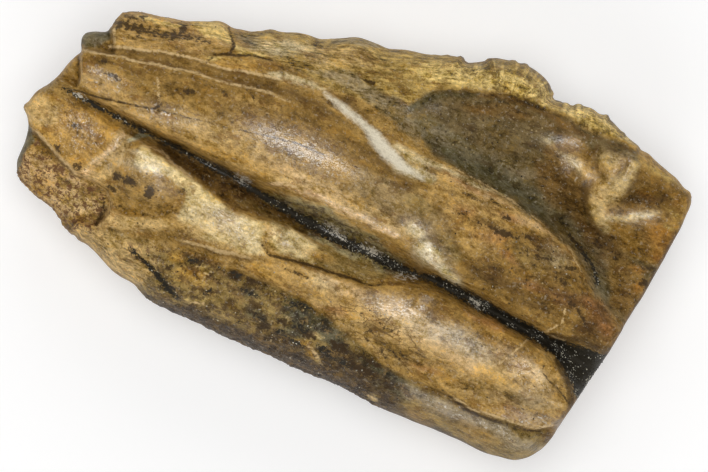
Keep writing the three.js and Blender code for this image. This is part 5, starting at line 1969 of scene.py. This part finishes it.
MARKS = [
    # painted shadow at the feet of ledges and in creases
    Mark(Mask.FOOT, Pigment.UMBER, 0.2, 0.2, 0.75),
    # pale edges, painted highlights along the ledges
    Mark(Mask.EDGE, Pigment.PALE_EDGE_AND_HIGHLIGHT, 0.08, 0.1, 0.9),
    Mark(Mask.STAIN, Pigment.DARK_UMBER, 0.2, 0.1, 0.92),
    Mark(Mask.SOOT, Pigment.BLACK, 0.25, 0.1, 1.0),
    # painted glints in the seam
    Mark(Mask.GLINT, Pigment.PAINTED_HIGHLIGHT, 0.45, 0.05, 0.85),
    Mark(Mask.CRACK, Pigment.DARK_UMBER, 0.06, 0.05, 0.9),
]


@dataclass(frozen=True)
class FossilFinish:
    """Glossy mineralised enamel: layered stains with some painted shade and highlights, specks, cracks and a
    lacquer-like crinkle.
    """

    tone: Ease = Ease(0.38, 0.62, 0.92, 1.56)
    tone_swings: tuple[tuple[Grain, float], ...] = (
        (Grain.FINE, 0.28), (Grain.TINY, 0.16), (Grain.FLECK, 0.34), (Grain.STREAK, 0.24),
    )
    swing_reach: float = 0.16
    tone_least: float = 0.15
    fibre: Texture = Texture(2.2, 4.0, 0.65, (0.35, 3.2, 3.2))
    fibre_turn: float = -20.0
    fibre_swing: Plan = (0.4, 0.15)
    fibre_elsewhere: float = 0.12
    relief_shade_gain: float = 2.6
    bead_pitch: float = 2.9
    bead_flat: float = 0.25
    bead_tone: Ease = Ease(0.2, 0.55, 0.25, -0.5)
    bead_relief: float = 3.0
    dark_tint: Triple = (1.04, 0.96, 0.5)
    light_tint: Triple = (1.0, 1.02, 0.96)
    tint_drift: Plan = (0.25, 0.15)
    tint_share: Ease = Ease(0.65, 1.35)
    amber: Ease = Ease(0.45, 0.4)
    amber_grain: Ease = Ease(0.42, 0.58, 0.3, 1.0)
    amber_tint: Triple = (1.0, 0.9, 0.6)
    smudge: Ease = Ease(0.54, 0.575)
    smudge_grain: Ease = Ease(0.44, 0.56, 0.25, 0.95)
    smudge_tint: Triple = (0.5, 0.42, 0.3)
    blotch: Ease = Ease(0.48, 0.55)
    blotch_strength: float = 0.85
    blotch_tint: Triple = (0.36, 0.31, 0.36)
    pits: Ease = Ease(0.6, 0.66)
    pits_strength: Ease = Ease(0.0, 1.0, 0.2, 0.45)
    # pale specks painted in glossy places as broken-up highlights
    painted_sparkle: Ease = Ease(0.42, 0.34)
    painted_sparkle_strength: Ease = Ease(0.0, 1.0, 0.2, 0.65)
    gold: Ease = Ease(0.56, 0.6)
    gold_strength: float = 0.4
    bead_pits: Ease = Ease(0.54, 0.6)
    bead_pits_strength: float = 0.6
    craze_pitch: float = 1.5
    craze_stretch: Triple = (0.7, 1.6, 1.0)
    craze_sway: Triple = (0.5, 0.5, 0.5)
    craze_line: Ease = Ease(0.0, 0.06, 0.85, 0.0)
    craze_elsewhere: float = 0.12
    specks: Specks = Specks(3.4, Ease(0.1, 0.3, 1.0, 0.0), Ease(0.72, 0.8), 0.12)
    specks_strength: float = 0.85
    crumbs: Specks = Specks(4.6, Ease(0.16, 0.26, 1.0, 0.0), Ease(0.7, 0.8), 0.1, (5.0, 1.0, 8.0))
    crumb_heaps: Texture = Texture(0.9, 3.0, 0.6, None, (5.0, 1.0, 8.0))
    crumb_heap: Ease = Ease(0.46, 0.56)
    crumbs_strength: Ease = Ease(0.0, 1.0, 0.5, 0.95)
    red: Ease = Ease(0.51, 0.56, 0.0, 0.9)
    edge_reach: float = 0.2
    cream_edge: Plan = (0.12, 0.3)
    cream_grain: Ease = Ease(0.35, 0.5, 0.85, 1.0)
    roughness: Ease = Ease(0.3, 0.7, 0.42, 0.62)
    gloss_smoothing: float = 0.2
    specular: float = 0.16
    coat_roughness: float = 0.13
    coat_ior: float = 1.8
    crease_relief: float = 1.6
    fleck_relief: float = 0.7
    fleck_base: float = 0.8
    matt_relief: tuple[tuple[Grain, float], ...] = (
        (Grain.FINE, 1.3), (Grain.TINY, 0.6), (Grain.FLECK, 1.3),
    )
    fibre_relief: float = 0.5
    bump_depth: float = 0.04

    def material(self) -> bpy.types.Material:
        """Builds the material.

        Returns:
            The material, which reads object coordinates and the tooth's own attributes.
        """
        return Mineral(self).finished()


class Mineral(MaterialGraph):
    """The nodes of the fossil's finish, a method for each group of them."""

    def __init__(self, finish: FossilFinish) -> None:
        """Reads the masks and makes the textures.

        Args:
            finish: The finish whose values it takes.
        """
        super().__init__(SLOT)
        self.finish = finish
        self.place = self.scaled(self.node("ShaderNodeTexCoord").outputs["Object"], 1.0 / MM)
        self.grain = {grain: self.texture(grain.value, self.place) for grain in Grain}
        self.masks = {name: self.mask(name) for name in Mask if name not in (Mask.COAT, Mask.SKIN)}
        slant = self.node("ShaderNodeVectorRotate", rotation_type="Z_AXIS")
        self.feed(slant.inputs["Vector"], self.place)
        slant.inputs["Angle"].default_value = math.radians(finish.fibre_turn)
        self.fibre = self.texture(finish.fibre, slant.outputs[0])
        flat = self.times(self.masks[Mask.RIM_IN], finish.bead_flat)
        rim = self.pair(self.masks[Mask.RIM_ALONG], flat)
        bead = self.ease(self.cells(rim, finish.bead_pitch), finish.bead_tone)
        self.bead = self.times(bead, self.masks[Mask.BEAD])

    def more(self, name: Mask, elsewhere: float) -> Socket:
        """A mask, and a little of it everywhere else."""
        return self.math("ADD", self.masks[name], elsewhere, clamp=True)

    def tone(self) -> Socket:
        """Brightness of the mottles, the fibres and the beads, and painted shade that darkens hollows and
        lightens what stands proud.
        """
        finish = self.finish
        tone = self.ease(self.grain[Grain.BROAD], finish.tone)
        for grain, swing in finish.tone_swings:
            tone = self.plus(tone, self.around(self.grain[grain], swing, finish.swing_reach))
        tone = self.plus(tone, self.bead)
        fibrous = self.plus(self.masks[Mask.FIBRE], finish.fibre_elsewhere)
        tone = self.plus(tone, self.times(self.around(self.fibre, *finish.fibre_swing), fibrous))
        # painted shade: darker in hollows, lighter where the face stands proud
        return self.plus(tone, self.times(self.masks[Mask.WORN], finish.relief_shade_gain))

    def ground(self) -> Socket:
        """The stains' own colour, toned and tinted, with amber, smudged and blotched places."""
        finish = self.finish
        tone = self.tone()
        coat = self.stored(Mask.COAT.value, "Color")
        toned = self.scaled(coat, self.math("MAXIMUM", tone, finish.tone_least))
        dark = self.vector("MULTIPLY", toned, finish.dark_tint)
        light = self.vector("MULTIPLY", toned, finish.light_tint)
        drift = self.around(self.grain[Grain.DRIFT], *finish.tint_drift)
        colour = self.mix(self.ease(self.plus(tone, drift), finish.tint_share), dark, light)
        patch, rubble = self.grain[Grain.PATCH], self.masks[Mask.MOTTLE]
        amber = self.ease(self.grain[Grain.FINE], finish.amber_grain)
        smudge = self.ease(self.grain[Grain.FLECK], finish.smudge_grain)
        blotch = self.ease(self.grain[Grain.BLOTCH], finish.blotch)
        for share, tint in (
            (self.times(self.ease(patch, finish.amber), amber), finish.amber_tint),
            (self.times(self.ease(patch, finish.smudge), smudge), finish.smudge_tint),
            (self.times(blotch, self.times(rubble, finish.blotch_strength)), finish.blotch_tint),
        ):
            colour = self.mix(share, colour, self.vector("MULTIPLY", colour, tint))
        return colour

    def speckled(self, specks: Specks) -> Socket:
        """How much specks cover, over the specked places and a little elsewhere."""
        place = self.vector("ADD", self.place, specks.shift) if specks.shift else self.place
        # a number reads the mean of a vector's three parts, so one part is tripled to be read alone
        chance = self.vector("MULTIPLY", self.cells(place, specks.pitch, "Color"), (3.0, 0.0, 0.0))
        chosen = self.ease(chance, specks.chosen)
        speck = self.times(self.ease(self.cells(place, specks.pitch), specks.size), chosen)
        return self.times(speck, self.more(Mask.SPECK, specks.elsewhere))

    def crazed(self) -> Socket:
        """How much the joints of the crazed enamel cover."""
        finish = self.finish
        sway = self.scaled(finish.craze_sway, self.grain[Grain.FINE])
        warped = self.vector("ADD", self.vector("MULTIPLY", self.place, finish.craze_stretch), sway)
        joints = self.cells(warped, finish.craze_pitch, feature="DISTANCE_TO_EDGE")
        line = self.ease(joints, finish.craze_line)
        return self.times(line, self.more(Mask.CRAZE, finish.craze_elsewhere))

    def ragged(self, name: Mask, swing: float, soft: float) -> Socket:
        """A narrow mark's inside, its edge broken up by the fine noise."""
        noise = self.around(self.grain[Grain.FINE], swing, self.finish.edge_reach)
        edge = self.plus(self.masks[name], noise)
        return self.ease(edge, Ease(0.5 - soft, 0.5 + soft))

    def layers(self) -> list[tuple[Socket, Pigment]]:
        """The thin layers over the ground, from the lowest up, and how much each covers."""
        finish, masks, grain = self.finish, self.masks, self.grain
        pore, rubble = grain[Grain.PORE], masks[Mask.MOTTLE]
        pits = self.times(self.ease(pore, finish.pits), self.ease(masks[Mask.SPECK], finish.pits_strength))
        # painted highlights: pale specks where the surface is glossy
        painted_sparkle = self.times(
            self.ease(pore, finish.painted_sparkle), self.ease(masks[Mask.GLOSS], finish.painted_sparkle_strength),
        )
        gold = self.times(
            self.ease(grain[Grain.GOLD], finish.gold), self.times(rubble, finish.gold_strength),
        )
        beaded = self.times(masks[Mask.BEAD], finish.bead_pits_strength)
        heaps = self.ease(self.texture(finish.crumb_heaps, self.place), finish.crumb_heap)
        crumbs = self.times(self.speckled(finish.crumbs), heaps)
        cream = self.ragged(Mask.CREAM, *finish.cream_edge)
        return [
            (pits, Pigment.DARK_UMBER),
            (painted_sparkle, Pigment.PAINTED_HIGHLIGHT),
            (gold, Pigment.HONEY),
            (self.times(self.ease(pore, finish.bead_pits), beaded), Pigment.UMBER),
            (self.crazed(), Pigment.UMBER),
            (self.times(self.speckled(finish.specks), finish.specks_strength), Pigment.DARK_UMBER),
            (self.times(crumbs, self.ease(rubble, finish.crumbs_strength)), Pigment.SAND),
            (self.times(self.ease(grain[Grain.RED], finish.red), masks[Mask.GRANULAR]), Pigment.RED_BROWN),
            (self.times(cream, self.ease(grain[Grain.FLECK], finish.cream_grain)), Pigment.CREAM),
            *(
                (self.times(self.ragged(mark.mask, mark.swing, mark.soft), mark.strength), mark.pigment)
                for mark in MARKS
            ),
        ]

    def bump(self, height: Socket) -> Socket:
        """The surface's direction under a relief."""
        bump = self.node("ShaderNodeBump")
        bump.inputs["Strength"].default_value = 1.0
        bump.inputs["Distance"].default_value = self.finish.bump_depth * MM
        self.feed(bump.inputs["Height"], height)
        return bump.outputs[0]

    def reliefs(self) -> tuple[Socket, Socket]:
        """The relief of the mineral, and that of the gloss over it."""
        finish, fleck = self.finish, self.grain[Grain.FLECK]
        crease = self.math("ABSOLUTE", self.math("SUBTRACT", self.grain[Grain.WRINKLE], 0.5))
        matt = self.math("SUBTRACT", 1.0, self.masks[Mask.GLOSS])
        height = self.plus(crease, self.times(fleck, finish.fleck_base))
        rough = [(self.grain[grain], share) for grain, share in finish.matt_relief]
        for value, share in (*rough, (self.fibre, finish.fibre_relief)):
            height = self.plus(height, self.times(self.times(value, share), matt))
        height = self.plus(height, self.times(self.fibre, self.masks[Mask.FIBRE]))
        height = self.plus(height, self.times(self.bead, finish.bead_relief))
        gloss = self.plus(self.times(crease, finish.crease_relief), self.times(fleck, finish.fleck_relief))
        return height, gloss

    def finished(self) -> bpy.types.Material:
        """Joins the groups in one shader and gives the material."""
        finish, gloss = self.finish, self.masks[Mask.GLOSS]
        colour = self.ground()
        for share, pigment in self.layers():
            colour = self.mix(share, colour, (*pigment.value, 1.0))
        height, crinkle = self.reliefs()
        rough = self.ease(self.grain[Grain.FINE], finish.roughness)
        return self.shader({
            "Base Color": colour,
            "Roughness": self.math("SUBTRACT", rough, self.times(gloss, finish.gloss_smoothing)),
            "Normal": self.bump(height),
            "Coat Normal": self.bump(crinkle),
            "Coat Weight": gloss,
            "Specular IOR Level": finish.specular,
            "Coat Roughness": finish.coat_roughness,
            "Coat IOR": finish.coat_ior,
        })


@dataclass(frozen=True)
class CrystalFinish:
    """Small crystals of the seam's sediment, from dark to pale by each one's own shade."""

    dark: Triple = (0.02, 0.018, 0.014)
    pale: Triple = (0.75, 0.7, 0.55)
    shade: Ease = Ease(0.45, 1.1)
    roughness: float = 0.22

    def material(self) -> bpy.types.Material:
        """Builds the material, which reads each crystal's own shade."""
        graph = MaterialGraph("seam_crystal")
        share = graph.ease(graph.stored(SHADE), self.shade)
        colour = graph.mix(share, (*self.dark, 1.0), (*self.pale, 1.0))
        return graph.shader({"Base Color": colour, "Roughness": self.roughness})


@dataclass(frozen=True)
class Softbox:
    """A square studio light that faces the tooth.

    Attributes:
        direction: Where it hangs, seen from the tooth.
        size: Length of its side in metres.
        power: Its power in watts.
        distance: How far off it hangs, in metres.
    """

    direction: Triple
    size: float
    power: float
    distance: float = 0.6


@dataclass(frozen=True)
class Studio:
    """A pale floor, soft lights and a long lens straight above the tooth."""

    view_width: float = 0.0354
    centre: Plan = (0.00154, -0.00209)
    roll: float = 25.0
    height: float = 0.8
    focus_height: float = 0.009
    sensor: float = 36.0
    sky: float = 0.25
    floor_half: float = 2.0
    floor_grey: float = 0.72
    floor_glow: float = 0.34
    floor_roughness: float = 0.9
    floor_specular: float = 0.1
    softboxes: tuple[Softbox, ...] = (
        Softbox((-0.03, 0.03, 1.0), 0.3, 1.8),
        Softbox((-0.25, 1.0, 0.8), 0.4, 0.7),
        Softbox((0.3, -1.0, 0.8), 0.4, 0.8),
    )

    def floor(self) -> None:
        """Lays the floor."""
        mesh = bpy.data.meshes.new("floor")
        half = self.floor_half
        corners = [(-half, -half, 0.0), (half, -half, 0.0), (half, half, 0.0), (-half, half, 0.0)]
        mesh.from_pydata(corners, [], [(0, 1, 2, 3)])
        material = bpy.data.materials.new("pale_paper")
        material.use_nodes = True
        sockets = material.node_tree.nodes["Principled BSDF"].inputs
        for name, value in {
            "Base Color": (self.floor_grey, self.floor_grey, self.floor_grey, 1.0),
            "Roughness": self.floor_roughness,
            "Specular IOR Level": self.floor_specular,
            "Emission Color": (1.0, 1.0, 1.0, 1.0),
            "Emission Strength": self.floor_glow,
        }.items():
            sockets[name].default_value = value
        mesh.materials.append(material)
        floor = bpy.data.objects.new("floor", mesh)
        bpy.context.scene.collection.objects.link(floor)

    def lights(self) -> None:
        """Hangs the softboxes and fills the room with soft light."""
        world = bpy.data.worlds.new("studio")
        world.use_nodes = True
        background = world.node_tree.nodes["Background"]
        background.inputs["Color"].default_value = (1.0, 1.0, 1.0, 1.0)
        background.inputs["Strength"].default_value = self.sky
        bpy.context.scene.world = world
        for number, box in enumerate(self.softboxes):
            light = bpy.data.lights.new(f"softbox_{number}", "AREA")
            light.shape = "SQUARE"
            light.size = box.size
            light.energy = box.power
            lamp = bpy.data.objects.new(light.name, light)
            direction = np.array(box.direction) / np.linalg.norm(box.direction)
            lamp.location = direction * box.distance
            lamp.rotation_euler = lamp.location.to_track_quat("Z", "Y").to_euler()
            bpy.context.scene.collection.objects.link(lamp)

    def camera(self) -> None:
        """Sets the camera over the tooth, with the photograph's framing."""
        data = bpy.data.cameras.new("camera")
        data.sensor_width = self.sensor
        data.lens = self.sensor * (self.height - self.focus_height) / self.view_width
        camera = bpy.data.objects.new("camera", data)
        camera.location = (*self.centre, self.height)
        camera.rotation_euler = (0.0, 0.0, math.radians(self.roll))
        bpy.context.scene.collection.objects.link(camera)
        bpy.context.scene.camera = camera
        bpy.context.scene.view_settings.view_transform = "Standard"


def main() -> None:
    """Builds the tooth, dresses it and sets the studio round it."""
    logging.basicConfig(level=logging.INFO, format="%(name)s: %(message)s")
    tooth = ToothForm().build()
    Weathering().weather(tooth, FossilFinish().material())
    grit = SeamGrit().scatter(tooth, CrystalFinish().material())
    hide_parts(NODE)
    for piece in (tooth, grit):
        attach(piece, BODY)
        triangles = sum(len(polygon.vertices) - 2 for polygon in piece.data.polygons)
        LOG.info("%s: %d triangles", piece.name, triangles)
    studio = Studio()
    studio.floor()
    studio.lights()
    studio.camera()


if __name__ == "__main__":
    main()
